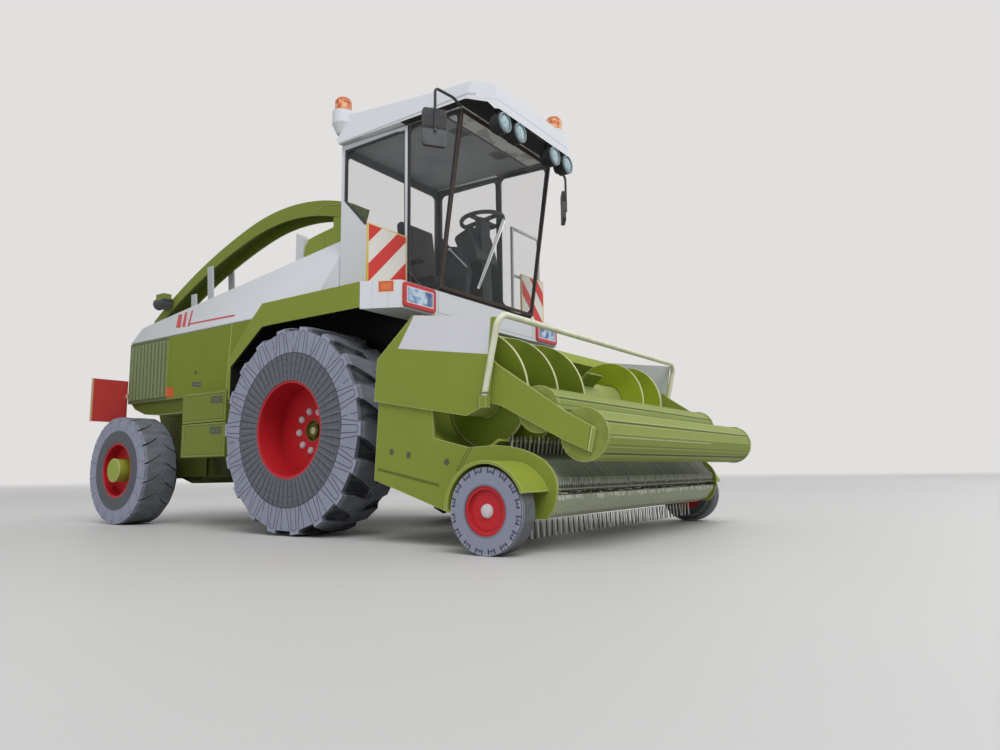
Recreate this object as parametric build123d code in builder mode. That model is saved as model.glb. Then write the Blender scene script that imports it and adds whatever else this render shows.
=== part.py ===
from build123d import *
import os
from math import cos, radians, sin, sqrt

# Card scale model of a self-propelled forage harvester with a pick-up header, about 1:25.
# Millimetres, +Z up, ground at z = 0.  The front faces -Y, and +X is the machine's left side.
# Lengths along the machine (y) are measured from the front axle.

os.makedirs("parts", exist_ok=True)

# ---------------------------------------------------------------- card
card = 0.8            # folded and glued panel
film = 0.3            # clear film in the windows
fit = 0.3             # gap between separate pieces
glue = 0.05           # glue layer between pieces that touch
wire = 1.0            # thickness of bent wire
pin_play = 0.08       # radial play of a wheel on its pin

# ---------------------------------------------------------------- wheels
front_r, front_w, front_face = 36.6, 25.0, 60.0
front_rim_r, front_dark_r, front_dish = 17.3, 26.9, 11.5
rear_r, rear_w, rear_face, rear_y = 23.7, 17.5, 57.0, 120.0
rear_rim_r, rear_dark_r, rear_dish = 12.2, 17.0, 5.0
gauge_r, gauge_w, gauge_face = 11.2, 7.5, 74.0
gauge_rim_r, gauge_dark_r, gauge_dish = 6.4, 8.6, 1.2
front_pin_r, rear_pin_r, gauge_pin_r = 2.4, 1.8, 1.0
front_tube_r = 6.0    # paper tube round the front axle
wheel_gap = 2.4       # between a wheel and the beam beside it
arch_gap = 3.0        # between a front wheel and the wheel house

# ---------------------------------------------------------------- heights of the body
fender_low = 2 * front_r + arch_gap
fender_top = fender_low + 8.8
hood_low = fender_top - 1.0           # lower edge of the white band
hood_high_rear = hood_low + 8.6
hood_high_front = hood_low + 33.2
body_low = hood_low - 29.0
frame_top = body_low - card
frame_low = frame_top - 10.2
box_seam, box_low = body_low - 12.5, body_low - 26.5
cab_floor_z = fender_top + 1.0
cab_high = 67.6                       # cab floor to roof
cab_top = cab_floor_z + cab_high

# ---------------------------------------------------------------- lengths and widths of the body
hood_half = 45.0                      # hood sides at the lower edge of the white band
hood_lean = 0.62                      # the white side leans in this much for each millimetre up
fender_half = front_face - 3.0
cab_half, cab_rear = 30.5, 7.0
fender_in = front_face - front_w - arch_gap   # inner wall of the front wheel house
fender_front, fender_rear = -31.5, front_r + 2.8
nose_y, nose_half, nose_corner_y = -44.4, 50.4, -33.7
body_front, body_rear = cab_rear + fit + 0.1, rear_y + 16.0
box_half = hood_half + 7.0
box_front_y = fender_rear + 8.6
box_rear_y = box_front_y + 30.0
rail_in, rail_wide = 18.0, 4.0        # chassis rails
sump_half = 30.0                      # engine's underside between the rear wheels

# ---------------------------------------------------------------- cab
foot_y, brow_y = nose_y, -54.9        # windscreen at its foot and at its top
screen_drop = 2.6                     # the windscreen's top edge below the roof
roof_half, roof_top_half, roof_front_half = cab_half + 2.5, cab_half - 1.5, cab_half - 5.7
board_wide, board_high = 19.8, 23.0   # striped warning board
lamp_r, beacon_r = 3.7, 3.4

# ---------------------------------------------------------------- spout
spout_half, spout_depth = 5.5, 7.4
spout_root_y, spout_crown_y, spout_bend_y, spout_tip_y = 28.5, 72.0, 100.0, body_rear + 50.0
spout_rise = 29.5                     # crown of its middle line above the hood
spout_drop = 40.7                     # crown to tip
spout_end_y = spout_tip_y + 5.0

# ---------------------------------------------------------------- header
head_half = 62.0                      # inner face of the upper side plates
trough_y = -62.0                      # face of the trough's back wall
auger_r, auger_tube_r, auger_pitch = 17.0, 8.0, 16.5
auger_gap = 1.2                       # auger to trough
back_roll_r, press_r = 6.4, 7.0
drum_r, drum_z = 9.0, 16.9
drum_gap = 2.1                        # height from the drum's top to the auger's lowest edge
rail_r = 0.9                          # bent wire rail over the header
trough_half = head_half - card - 0.1
auger_y = trough_y - auger_gap - auger_r
auger_z = drum_z + drum_r + drum_gap + auger_r
roll_reach = auger_r + back_roll_r + auger_gap
back_roll_y, back_roll_z = auger_y - 0.952 * roll_reach, auger_z - 0.306 * roll_reach
press_y, press_z = back_roll_y - back_roll_r - press_r - 0.2, back_roll_z - 7.2
drum_y = auger_y - 0.8 * auger_r
gauge_y = drum_y - 1.5
rail_y, rail_z = auger_y - 13.2, auger_z + 19.5
rail_foot_y = auger_y - 8.0
rail_foot_z = auger_z - 3.4

# The overall length runs from the press roller to the spout's flap, and its middle is y = 0
# in the finished model.
front_axle_y = -((press_y - press_r) + spout_end_y) / 2


def side_plane(x):
    """Plane across the machine at x; its sketches are in (y, z)."""
    return Plane(origin=(x, front_axle_y, 0), x_dir=(0, 1, 0), z_dir=(1, 0, 0))


def front_plane(y):
    """Plane facing the front at y; its sketches are in (x, z)."""
    return Plane(origin=(0, front_axle_y + y, 0), x_dir=(1, 0, 0), z_dir=(0, -1, 0))


def floor_plane(z):
    """Level plane at z; its sketches are in (x, y)."""
    return Plane(origin=(0, front_axle_y, z), x_dir=(1, 0, 0), z_dir=(0, 0, 1))


def add_outline(points, radius=0.0, mode=Mode.ADD):
    """Add (or cut) a face in the sketch being made, its corners rounded to a radius."""
    with BuildLine() as edge:
        if radius:
            FilletPolyline(*points, radius=radius, close=True)
        else:
            Polyline(*points, close=True)
    make_face(edge.edges(), mode=mode)


def add_panel(plane, outline, depth, radius=0.0, holes=(), hole_radius=0.0, mode=Mode.ADD, both=False):
    """Add (or cut) a flat piece with a given outline to the part being built."""
    with BuildSketch(plane) as face:
        add_outline(outline, radius)
        for hole in holes:
            add_outline(hole, hole_radius, Mode.SUBTRACT)
    extrude(face.sketch, amount=depth, both=both, mode=mode)


def add_box(x0, x1, y0, y1, z0, z1, mode=Mode.ADD):
    """Add (or cut) a square block between two corners."""
    add_panel(floor_plane(z0), ((x0, y0), (x1, y0), (x1, y1), (x0, y1)), z1 - z0, mode=mode)


def add_side_box(side, x0, x1, y0, y1, z0, z1, mode=Mode.ADD):
    """Add (or cut) a block on one side; x0 and x1 are distances from the middle."""
    low, high = sorted((side * x0, side * x1))
    add_box(low, high, y0, y1, z0, z1, mode)


def add_disc(plane, centre, radius, depth, bore=0.0, mode=Mode.ADD, both=False):
    """Add (or cut) a round piece, with a bore if one is given."""
    with BuildSketch(plane) as face:
        with Locations(centre):
            Circle(radius)
            if bore:
                Circle(bore, mode=Mode.SUBTRACT)
    extrude(face.sketch, amount=depth, both=both, mode=mode)


def add_turned(face_x, side, y, z, profile):
    """Turn a closed (distance inwards from the wheel's face, radius) profile about its axle."""
    section_plane = Plane(origin=(side * face_x, front_axle_y + y, z), x_dir=(-side, 0, 0), z_dir=(0, 1, 0))
    with BuildSketch(section_plane) as section:
        add_outline([(inwards, side * radius) for inwards, radius in profile])
    revolve(section.sketch, Axis((0, front_axle_y + y, z), (1, 0, 0)))


def finish(piece, name):
    """Label a finished piece and write it."""
    piece.part.label = name
    export_step(piece.part, f"parts/{name}.step")


# ---------------------------------------------------------------- frame and axles
beam_half = front_face - front_w - wheel_gap
rear_beam_half = rear_face - rear_w - wheel_gap
frame_front, frame_rear = -36.0, body_rear - 5.0
with BuildPart() as chassis_frame:
    for side in (-1, 1):
        add_side_box(side, rail_in, rail_in + rail_wide, frame_front, frame_rear, frame_low, frame_top)
    for y in (frame_front, front_r, rear_y - front_r, frame_rear - rail_wide):
        add_box(-rail_in, rail_in, y, y + rail_wide, frame_low, frame_top)
    for x in (-rail_in - rail_wide, rail_in):
        hanger = ((-8.0, frame_low), (8.0, frame_low), (5.0, front_r - 3.1), (-5.0, front_r - 3.1))
        add_panel(side_plane(x), hanger, rail_wide)
        add_panel(side_plane(x), ((rear_y - 10, frame_low), (rear_y + 10, frame_low),
                                  (rear_y + 6, rear_r + 4), (rear_y - 6, rear_r + 4)), rail_wide)
    sump_y, sump_low = rear_y - 5.8, rear_r - 6.2
    sump = ((box_rear_y + 0.6, frame_top), (box_rear_y + 0.6, box_low - 1.0), (box_rear_y - 6.0, box_low - 1.0),
            (box_rear_y - 6.0, rear_r - 3.4), (sump_y - 22.0, rear_r - 3.6), (sump_y - 18.0, sump_low),
            (sump_y - 10.0, sump_low), (sump_y, rear_r - 3.4), (sump_y, rear_r + 4.6), (sump_y, frame_top))
    add_panel(side_plane(-sump_half), sump, 2 * sump_half)
    add_disc(side_plane(0), (0, front_r), front_tube_r + glue, rail_in + rail_wide + 1, both=True,
             mode=Mode.SUBTRACT)
finish(chassis_frame, "chassis_frame")

with BuildPart() as front_axle:
    add_disc(side_plane(0), (0, front_r), front_tube_r, beam_half, both=True)
    add_disc(side_plane(0), (0, front_r), front_pin_r, front_face - front_dish, both=True)
finish(front_axle, "front_axle")

with BuildPart() as rear_axle:
    rear_beam = ((rear_y - 5, rear_r - 4), (rear_y + 5, rear_r - 4), (rear_y + 4, rear_r + 4 - glue),
                 (rear_y - 4, rear_r + 4 - glue))
    add_panel(side_plane(0), rear_beam, rear_beam_half, radius=1.5, both=True)
    add_disc(side_plane(0), (rear_y, rear_r), rear_pin_r, rear_face - 2.0, both=True)
finish(rear_axle, "rear_axle")

# ---------------------------------------------------------------- wheels
wheel_table = (
    # name, y, tyre r, width, face x, rim r, dark ring r, dish depth, pin r, hub r, hub out
    ("front", 0.0, front_r, front_w, front_face, front_rim_r, front_dark_r, front_dish, front_pin_r, 3.8, -1.6),
    ("rear", rear_y, rear_r, rear_w, rear_face, rear_rim_r, rear_dark_r, rear_dish, rear_pin_r,
     5.0, rear_dish + 0.8),
    ("gauge", gauge_y, gauge_r, gauge_w, gauge_face, gauge_rim_r, gauge_dark_r, gauge_dish, gauge_pin_r,
     1.7, 0.5),
)
for name, y, r, width, face, rim_r, dark_r, dish, pin_r, hub_r, hub_out in wheel_table:
    shoulder = 0.04 * (r - dark_r)
    bore = pin_r + pin_play
    for side_name, side in (("left", 1), ("right", -1)):
        with BuildPart() as tyre:
            add_turned(face, side, y, r, ((0, rim_r), (0, r - shoulder), (shoulder, r),
                                          (width - 2 * shoulder, r), (width, dark_r), (width, rim_r)))
        finish(tyre, f"{name}_tyre_{side_name}")
        with BuildPart() as rim:
            well = rim_r - card - glue
            add_turned(face, side, y, r, ((0.3, well), (0.3, rim_r - glue), (width - 0.3, rim_r - glue),
                                          (width - 0.3, bore), (dish - hub_out, bore), (dish - hub_out, hub_r),
                                          (dish, hub_r), (dish, well)))
        finish(rim, f"{name}_rim_{side_name}")

# ---------------------------------------------------------------- body


def hood_edge(z):
    """Half the hood's width at height z, on its leaning white sides."""
    return hood_half - (z - hood_low) * hood_lean


def hood_top(y):
    """Height of the hood's top, which rises towards the cab."""
    share = (body_rear - y) / (body_rear - body_front)
    return hood_high_rear + share * (hood_high_front - hood_high_rear)


shell_front, shell_top = fender_rear + 1.5, hood_low - fit
rib_pitch, rib_count, rib_wide, rib_out = 3.0, 11, 1.5, 0.5
with BuildPart() as body_shell:
    add_box(-hood_half, hood_half, shell_front, body_rear, body_low, shell_top)
    add_box(-hood_half + card, hood_half - card, shell_front + card, body_rear - card,
            body_low + card, shell_top + 1, mode=Mode.SUBTRACT)
    for side in (-1, 1):
        for k in range(rib_count):
            y = body_rear - 2.0 - rib_pitch * k
            add_side_box(side, hood_half, hood_half + rib_out, y - rib_wide, y, body_low + 1.5, shell_top - 1.5)
        belly_low = 2 * rear_r + 1.0
        drop = body_low - belly_low
        belly = ((body_rear - 1.0, body_low + 0.4), (body_rear - 4.9, body_low - 0.42 * drop),
                 (body_rear - 13.8, body_low - 0.85 * drop), (body_rear - 26.0, belly_low),
                 (body_rear - 45.0, belly_low), (body_rear - 45.0, body_low + 0.4))
        add_panel(side_plane(side * (sump_half + fit)), belly, side * (hood_half - 1.0 - sump_half - fit))
finish(body_shell, "body_shell")

with BuildPart() as hood:
    for y, high in ((body_rear, hood_high_rear), (body_front, hood_high_front)):
        with BuildSketch(front_plane(y)):
            add_outline(((-hood_half, hood_low), (hood_half, hood_low), (hood_edge(high), high),
                         (-hood_edge(high), high)))
    loft()
    offset(amount=-card, openings=hood.faces().sort_by(Axis.Z)[0])
finish(hood, "hood")

stack_x, stack_y, stack_wide, stack_long = -6.3, spout_root_y + 27.2, 5.4, 5.3
with BuildPart() as stack:
    stack_rear = stack_y + stack_long
    stack_side = ((stack_y, hood_top(stack_y) + glue), (stack_rear, hood_top(stack_rear) + glue),
                  (stack_rear, hood_high_front + 16.5), (stack_y, hood_high_front + 12.9))
    add_panel(side_plane(stack_x - stack_wide / 2), stack_side, stack_wide)
finish(stack, "stack")

slope_y, heel_y = 0.51 * fender_rear, 0.70 * fender_rear     # where the fender starts and ends its steep fall
for side_name, side in (("left", 1), ("right", -1)):
    with BuildPart() as fender:
        foot_z = frame_top - 4.2
        top_line = ((fender_front, fender_top), (slope_y, fender_top), (heel_y, fender_top - 6.4),
                    (fender_rear, fender_top - 19.0), (fender_rear, foot_z))
        apron = top_line + ((fender_rear - card, foot_z), (fender_rear - card, fender_top - 22.5),
                            (slope_y, fender_top - 9.0), (slope_y - 5.0, fender_low),
                            (fender_front, fender_low))
        add_panel(side_plane(side * fender_half), apron, -side * card)
        skin = top_line + ((fender_rear - card, foot_z), (fender_rear - card, fender_top - 19.4),
                           (heel_y - 0.5, fender_top - 7.1), (slope_y - 0.3, fender_top - card),
                           (fender_front, fender_top - card))
        add_panel(side_plane(side * fender_half), skin, -side * (fender_half - fender_in))
        wall = top_line[:-1] + ((fender_rear, foot_z - 4.0), (fender_front, foot_z - 4.0))
        add_panel(side_plane(side * fender_in), wall, side * card)
        add_side_box(side, fender_in - 1, hood_half + fit, body_front - fit, fender_rear + 1, hood_low - fit,
                     fender_top + 1, mode=Mode.SUBTRACT)
    finish(fender, f"fender_{side_name}")

with BuildPart() as front_box:
    corner_x = fender_half - 1.0
    plan = ((-nose_half, nose_y), (nose_half, nose_y), (corner_x, nose_corner_y),
            (fender_half, fender_front - fit), (-fender_half, fender_front - fit), (-corner_x, nose_corner_y))
    add_panel(floor_plane(fender_low - 0.6), plan, fender_top - fender_low + 0.6)
finish(front_box, "front_box")

light_in, light_out, light_high = 33.4, nose_half - 0.6, 8.4
with BuildPart() as headlights:
    for side in (-1, 1):
        light_top = fender_low + light_high
        lens = [(side * x, z) for x, z in ((light_in, fender_low), (light_out, fender_low),
                                           (light_out, light_top), (light_in, light_top))]
        add_panel(front_plane(nose_y - glue), lens, card, radius=1.2)
finish(headlights, "headlights")

with BuildPart() as tool_boxes:
    for side in (-1, 1):
        add_side_box(side, 24.0, box_half, box_front_y, box_rear_y, box_low, box_seam - 0.4)
        add_side_box(side, 24.0, box_half, box_front_y, box_rear_y, box_seam, body_low - fit)
        add_side_box(side, 26.0, box_half - 2.0, box_front_y + 2, box_rear_y - 2, box_seam - 0.4, box_seam)
finish(tool_boxes, "tool_boxes")

# ---------------------------------------------------------------- cab
with BuildPart() as cab_floor:
    add_box(-cab_half, cab_half, nose_y + 0.2, cab_rear, cab_floor_z - 0.7, cab_floor_z)
    add_box(-fender_in + fit, fender_in - fit, fender_front + fit, cab_rear, fender_low, fender_top)
    add_box(-10.0, 10.0, fender_front + fit, cab_rear, frame_top + glue, fender_low)
    add_box(-10.0, 10.0, fender_front + fit, cab_rear, fender_top, cab_floor_z - 0.7)
finish(cab_floor, "cab_floor")

side_low = cab_floor_z + glue
side_outline = ((cab_rear, side_low), (cab_rear, cab_top), (brow_y, cab_top - screen_drop), (foot_y, side_low))
rear_window = ((cab_rear - 2.6, cab_top - 23.4), (cab_rear - 2.6, cab_top - 3.0), (-27.0, cab_top - 3.4),
               (-27.3, cab_floor_z + 23.2), (-6.6, cab_floor_z + 32.6))
door_window = ((-29.8, cab_floor_z + 8.5), (-29.8, cab_top - 3.0), (-53.2, cab_top - 4.0),
               (-43.9, cab_floor_z + 2.0), (-36.0, cab_floor_z + 2.0))
for side_name, side in (("left", 1), ("right", -1)):
    with BuildPart() as cab_side:
        add_panel(side_plane(side * cab_half), side_outline, -side * card, holes=(rear_window, door_window),
                  hole_radius=2.2)
    finish(cab_side, f"cab_side_{side_name}")

inner = cab_half - card - glue
with BuildPart() as cab_rear_wall:
    wall = ((-inner, side_low), (inner, side_low), (inner, cab_top), (-inner, cab_top))
    pane = ((-inner + 6, cab_floor_z + 32), (inner - 6, cab_floor_z + 32), (inner - 6, cab_top - 7.6),
            (-inner + 6, cab_top - 7.6))
    add_panel(front_plane(cab_rear), wall, card, holes=(pane,), hole_radius=2.2)
finish(cab_rear_wall, "cab_rear_wall")

screen_rise = cab_top - screen_drop - side_low
screen_high = sqrt((foot_y - brow_y) ** 2 + screen_rise ** 2)
screen_plane = Plane(origin=(0, front_axle_y + foot_y, side_low), x_dir=(1, 0, 0),
                     z_dir=(0, -screen_rise / screen_high, (brow_y - foot_y) / screen_high))
pillar, strip = 0.9, 0.5
with BuildPart() as windshield_frame:
    frame_edge = ((-cab_half, 0), (cab_half, 0), (cab_half, screen_high), (-cab_half, screen_high))
    frame_pane = ((-cab_half + pillar, 1.2), (cab_half - pillar, 1.2), (cab_half - pillar, screen_high - 1.5),
                  (-cab_half + pillar, screen_high - 1.5))
    add_panel(screen_plane.offset(glue), frame_edge, strip, holes=(frame_pane,))
finish(windshield_frame, "windshield_frame")

with BuildPart() as glazing:
    pane_half, pane_top = inner - 0.4, screen_high - 1.0
    pane = ((-pane_half, 1.0), (pane_half, 1.0), (pane_half, pane_top), (-pane_half, pane_top))
    add_panel(screen_plane.offset(-glue), pane, -film)
    side_pane = ((cab_rear - card - 1.0, cab_floor_z + 21.0), (cab_rear - card - 1.0, cab_top - 2.0),
                 (-52.9, cab_top - 3.3), (-43.6, cab_floor_z + 1.2), (-30.0, cab_floor_z + 1.2),
                 (-28.4, cab_floor_z + 21.0))
    for side in (-1, 1):
        add_panel(side_plane(side * inner), side_pane, -side * film)
    pane = ((-inner + 5, cab_floor_z + 31), (inner - 5, cab_floor_z + 31), (inner - 5, cab_top - 6.6),
            (-inner + 5, cab_top - 6.6))
    add_panel(front_plane(cab_rear - card - glue), pane, film)
finish(glazing, "glazing")

with BuildPart() as wiper:
    foot, tip = (-9.4, 4.2), (1.7, 33.8)
    arm = ((foot[0] - 0.5, foot[1]), (foot[0] + 0.5, foot[1]), (tip[0] + 1.0, tip[1] - 0.2),
           (tip[0] - 0.9, tip[1] + 0.2))
    add_panel(screen_plane.offset(strip + 2 * glue), arm, 0.5)
finish(wiper, "wiper")

roof_back, fascia_low = cab_rear + 2.0, cab_top - 4.4
ridge_y, peak_y, fascia_y = -43.4, cab_rear - 4.3, -66.4
base_r = beacon_r + 1.0
beacon_table = (
    # x, y, base low, base top
    (1.5 - cab_half, roof_back - 0.7, cab_top + 9.0, cab_top + 15.4),
    (cab_half - 5.0, fascia_y + 6.1, cab_top + 4.2, cab_top + 8.4),
)
with BuildPart() as roof:
    profile = ((roof_back, cab_top + 2.6), (peak_y, cab_top + 13.2), (ridge_y, cab_top + 7.2),
               (fascia_y, cab_top + 5.2),
               (fascia_y - 1.0, fascia_low), (fascia_y + 0.2, fascia_low), (fascia_y + 2.0, cab_top - 2.0),
               (brow_y - 3.0, cab_top - 1.2), (cab_rear, cab_top + fit))
    add_panel(side_plane(0), profile, roof_half, both=True)
    for side in (-1, 1):
        slope_top = cab_top + 21.4
        slope = [(side * x, z) for x, z in ((roof_half, cab_top - 1.6), (2 * roof_half, cab_top - 1.6),
                                            (2 * roof_half, slope_top), (roof_top_half - 1.4, slope_top))]
        add_panel(front_plane(20.0), slope, 100.0, mode=Mode.SUBTRACT)
        corner = [(side * x, y) for x, y in ((roof_front_half, fascia_y - 4), (roof_front_half, fascia_y - 1.0),
                                             (roof_half + 2, -56.5), (2 * roof_half, fascia_y - 4))]
        add_panel(floor_plane(cab_top - 14), corner, 40.0, mode=Mode.SUBTRACT)
    for x, y, low, high in beacon_table:
        with BuildSketch(front_plane(y)) as base:
            edge_x = x + base_r
            add_outline(((x, low - 3), (x + 2.5, low - 3), (edge_x, low + 1), (edge_x, high), (x, high)))
        revolve(base.sketch, Axis((x, front_axle_y + y, 0), (0, 0, 1)))
finish(roof, "roof")

with BuildPart() as beacons:
    for x, y, low, high in beacon_table:
        z = high + glue
        with BuildSketch(front_plane(y)) as dome:
            add_outline(((x, z), (x + beacon_r, z), (x + beacon_r, z + 4.8), (x + beacon_r - 0.8, z + 6.0),
                         (x, z + 6.6)))
        revolve(dome.sketch, Axis((x, front_axle_y + y, 0), (0, 0, 1)))
finish(beacons, "beacons")

lamp_y, lamp_z = fascia_y - 1.6, cab_top - 8.9
with BuildPart() as roof_lamps:
    for x in (-22.4, -12.4, 12.4, 22.4):
        add_disc(front_plane(lamp_y + 3.6), (x, lamp_z), lamp_r, 3.6)
        add_disc(front_plane(lamp_y + 5.2), (x, lamp_z), lamp_r - 1.2, 1.6)
        add_box(x - 0.5, x + 0.5, lamp_y + 3.6, lamp_y + 4.5, lamp_z, cab_top - 2.0 - glue)
finish(roof_lamps, "roof_lamps")

mirror_x, mirror_y, mirror_wide, mirror_high = cab_half + 14.0, -54.1, 8.4, 13.4
with BuildPart() as mirrors:
    for side, mirror_z in ((-1, cab_top - 15.3), (1, cab_top - 17.6)):
        facing = Vector(side * 0.572, -0.82, 0)
        across = Vector(0.82, side * 0.572, 0)
        head = Plane(origin=(mirror_x * side, front_axle_y + mirror_y, mirror_z), x_dir=across, z_dir=facing)
        half, high = mirror_wide / 2, mirror_high / 2
        add_panel(head, ((-half, -high), (half, -high), (half, high), (-half, high)), -1.6, radius=1.0)
        top = Vector(mirror_x * side, front_axle_y + mirror_y, mirror_z + high) + facing * (wire / 2 - glue)
        with BuildLine() as arm:
            FilletPolyline((side * (cab_half + wire), front_axle_y + brow_y - 0.4, cab_top - 2.6),
                           (side * (cab_half + 5.0), front_axle_y + brow_y - 0.2, cab_top - 1.0),
                           top + Vector(0, 0, mirror_high * 0.55), top - Vector(0, 0, mirror_high * 0.62),
                           radius=1.8)
        with BuildSketch(Plane(origin=arm.line @ 0, z_dir=arm.line % 0)) as section:
            Circle(wire / 2)
        sweep(section.sketch, path=arm.line)
finish(mirrors, "mirrors")

with BuildPart() as seat:
    seat_z, seat_half = cab_floor_z + 8.0, 10.0
    base = ((-19.0, cab_floor_z + glue), (-12.0, cab_floor_z + glue), (-10.5, seat_z), (-21.0, seat_z))
    add_panel(side_plane(-4.5), base, 9.0)
    cushion = ((-25.0, seat_z), (-7.0, seat_z), (-7.0, seat_z + 4.6), (-25.0, seat_z + 5.2))
    add_panel(side_plane(-seat_half), cushion, 2 * seat_half, radius=1.4)
    back = ((-11.0, seat_z + 3.0), (-7.4, seat_z + 3.0), (-3.6, seat_z + 30.6), (-7.2, seat_z + 31.2))
    add_panel(side_plane(-seat_half + 0.7), back, 2 * seat_half - 1.4, radius=1.4)
    for x in (-seat_half - 2.4, seat_half + 0.3):
        arm = ((-20.0, seat_z + 10.5), (-6.6, seat_z + 10.5), (-6.6, seat_z + 12.3), (-20.0, seat_z + 12.3))
        add_panel(side_plane(x), arm, 2.1, radius=0.8)
    add_box(-seat_half - 1.2, seat_half + 1.2, -7.4, -6.8, seat_z + 9.0, seat_z + 12.0)
finish(seat, "seat")

with BuildPart() as console:
    console_x = seat_half + 4.0
    top_line = ((-30.0, cab_floor_z + 16.0), (-26.0, cab_floor_z + 19.0), (-3.0, cab_floor_z + 19.0))
    add_panel(side_plane(console_x), ((-3.0, cab_floor_z + glue), (-30.0, cab_floor_z + glue)) + top_line, 8.0)
    add_box(console_x + 3.2, console_x + 4.2, -21.0, -20.0, cab_floor_z + 19.0, cab_floor_z + 27.0)
    add_disc(floor_plane(cab_floor_z + 26.0), (console_x + 3.7, -20.5), 1.5, 3.2)
finish(console, "console")

with BuildPart() as steering_wheel:
    ring_r, ring_x, ring_y, ring_z = 9.2, 1.5, foot_y + 4.2, cab_floor_z + 35.0
    column = ((-42.5, cab_floor_z + glue), (-37.5, cab_floor_z + glue), (ring_y + 1.2, ring_z - 0.4),
              (ring_y - 1.4, ring_z + 0.6))
    add_panel(side_plane(ring_x - 3.0), column, 6.0)
    dash = ((-43.0, cab_floor_z + 17.0), (-37.0, cab_floor_z + 15.0), (-31.0, cab_floor_z + 28.0),
            (-39.0, cab_floor_z + 31.0))
    add_panel(side_plane(ring_x - 7.0), dash, 14.0, radius=1.5)
    with BuildSketch(Plane(origin=(ring_x, front_axle_y + ring_y, ring_z), z_dir=(0, 0.12, 0.99))) as ring:
        Circle(ring_r)
        Circle(ring_r - 1.3, mode=Mode.SUBTRACT)
        Rectangle(2 * ring_r - 1.8, 1.6)
        Rectangle(1.6, 2 * ring_r - 1.8)
    extrude(ring.sketch, amount=0.6, both=True)
finish(steering_wheel, "steering_wheel")

# ---------------------------------------------------------------- spout
spout_line_z = hood_high_front + spout_rise
spout_middle = (
    # y, z, share of the full depth, slope of the middle line
    (spout_root_y, spout_line_z - 8.4, 1.0, 0.36),
    (spout_crown_y, spout_line_z, 0.93, -0.03),
    (spout_bend_y, spout_line_z - 3.6, 0.88, -0.27),
    (spout_tip_y, spout_line_z - spout_drop, 0.70, -0.60),
)


def spout_edge(offset):
    """Points of the spout's edge, offset as a share of its depth to the middle line's upper side."""
    points = []
    for y, z, share, slope in spout_middle:
        reach = offset * spout_depth * share / sqrt(1 + slope * slope)
        points.append((y - slope * reach, z + reach))
    return points


def add_spout_band(top, bottom, half, mode=Mode.ADD):
    """Add (or cut) the band between two spout edges, across the spout's width."""
    with BuildSketch(side_plane(0)) as band:
        with BuildLine() as edge:
            for points in (top, bottom):
                front = ThreePointArc(*points[:3])
                TangentArc(points[2], points[3], tangent=front % 1)
            Line(top[0], bottom[0])
            Line(top[3], bottom[3])
        make_face(edge.edges())
    extrude(band.sketch, amount=half, both=True, mode=mode)


turret_half, neck_rear = 9.0, spout_root_y + 7.0
turret_front, turret_rear = spout_root_y - 0.5, spout_root_y + 26.2
neck_z = spout_edge(-0.5)[0][1] - fit - 0.4
with BuildPart() as spout_turret:
    turret = ((turret_front, hood_top(turret_front) + glue), (turret_rear, hood_top(turret_rear) + glue),
              (turret_rear, hood_high_front + 8.6), (turret_rear - 2.4, hood_high_front + 11.6),
              (turret_rear - 6.8, hood_high_front + 12.5), (neck_rear, hood_high_front + 14.2),
              (neck_rear, neck_z + 1.8), (turret_front, neck_z))
    add_panel(side_plane(-turret_half), turret, 2 * turret_half)
finish(spout_turret, "spout_turret")

with BuildPart() as spout:
    add_spout_band(spout_edge(0.5), spout_edge(-0.5), spout_half)
    add_spout_band([(y + 2 * card, z) for y, z in spout_edge(0.5 - card / spout_depth)], spout_edge(-1.2),
                   spout_half - card, Mode.SUBTRACT)
finish(spout, "spout")

tip_y, tip_z = spout_edge(0.0)[3]
with BuildPart() as spout_flap:
    flap = ((tip_y + 0.2, tip_z - 1.6), (tip_y + 1.6, tip_z + 2.0), (spout_end_y, tip_z - 0.6),
            (spout_end_y - 0.8, tip_z - 4.6))
    add_panel(side_plane(-spout_half + 0.2), flap, 2 * spout_half - 0.4)
finish(spout_flap, "spout_flap")

drive_r, drive_long = 3.3, 9.5
with BuildPart() as flap_drive:
    drive_x, drive_y, drive_z = -spout_half - drive_r - glue, tip_y - 8.2, tip_z + 10.2
    add_disc(front_plane(drive_y), (drive_x, drive_z), drive_r, drive_long)
    add_disc(front_plane(drive_y + 0.8), (drive_x, drive_z), drive_r - 1.0, 0.8)
    add_box(drive_x - 2.2, drive_x + 2.4, drive_y - drive_long + 1.0, drive_y - 1.0,
            drive_z + 2.0, drive_z + 5.0)
finish(flap_drive, "flap_drive")

rest_y = rear_y + 8.0
with BuildPart() as spout_rest:
    foot_z = hood_top(rest_y - 0.4) + glue
    add_box(-18.0, 18.0, rest_y - 0.4, rest_y + 6.0, foot_z, foot_z + card)
    for x, wide, lean, high in ((spout_half + 0.4, 4.6, 3.0, 36.6), (16.0, 4.0, 1.0, 19.1)):
        strap = ((rest_y, foot_z), (rest_y + wide, foot_z), (rest_y + lean + wide, foot_z + high),
                 (rest_y + lean, foot_z + high))
        for side in (-1, 1):
            add_panel(side_plane(side * x), strap, side * card)
finish(spout_rest, "spout_rest")

# ---------------------------------------------------------------- boards and rails
with BuildPart() as rear_boards:
    for side in (-1, 1):
        inside, outside = hood_half - 1.9, hood_half + 14.8
        board = [(side * x, z) for x, z in ((inside, body_low - 8.5), (outside, body_low - 8.5),
                                            (outside, body_low + 11.5), (inside, body_low + 11.5))]
        add_panel(front_plane(body_rear + 5.0), board, card)
        add_side_box(side, hood_half - 5.0, hood_half - 1.0, body_rear, body_rear + 5.0,
                     body_low + 3.0, body_low + 5.0)
finish(rear_boards, "rear_boards")

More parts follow.
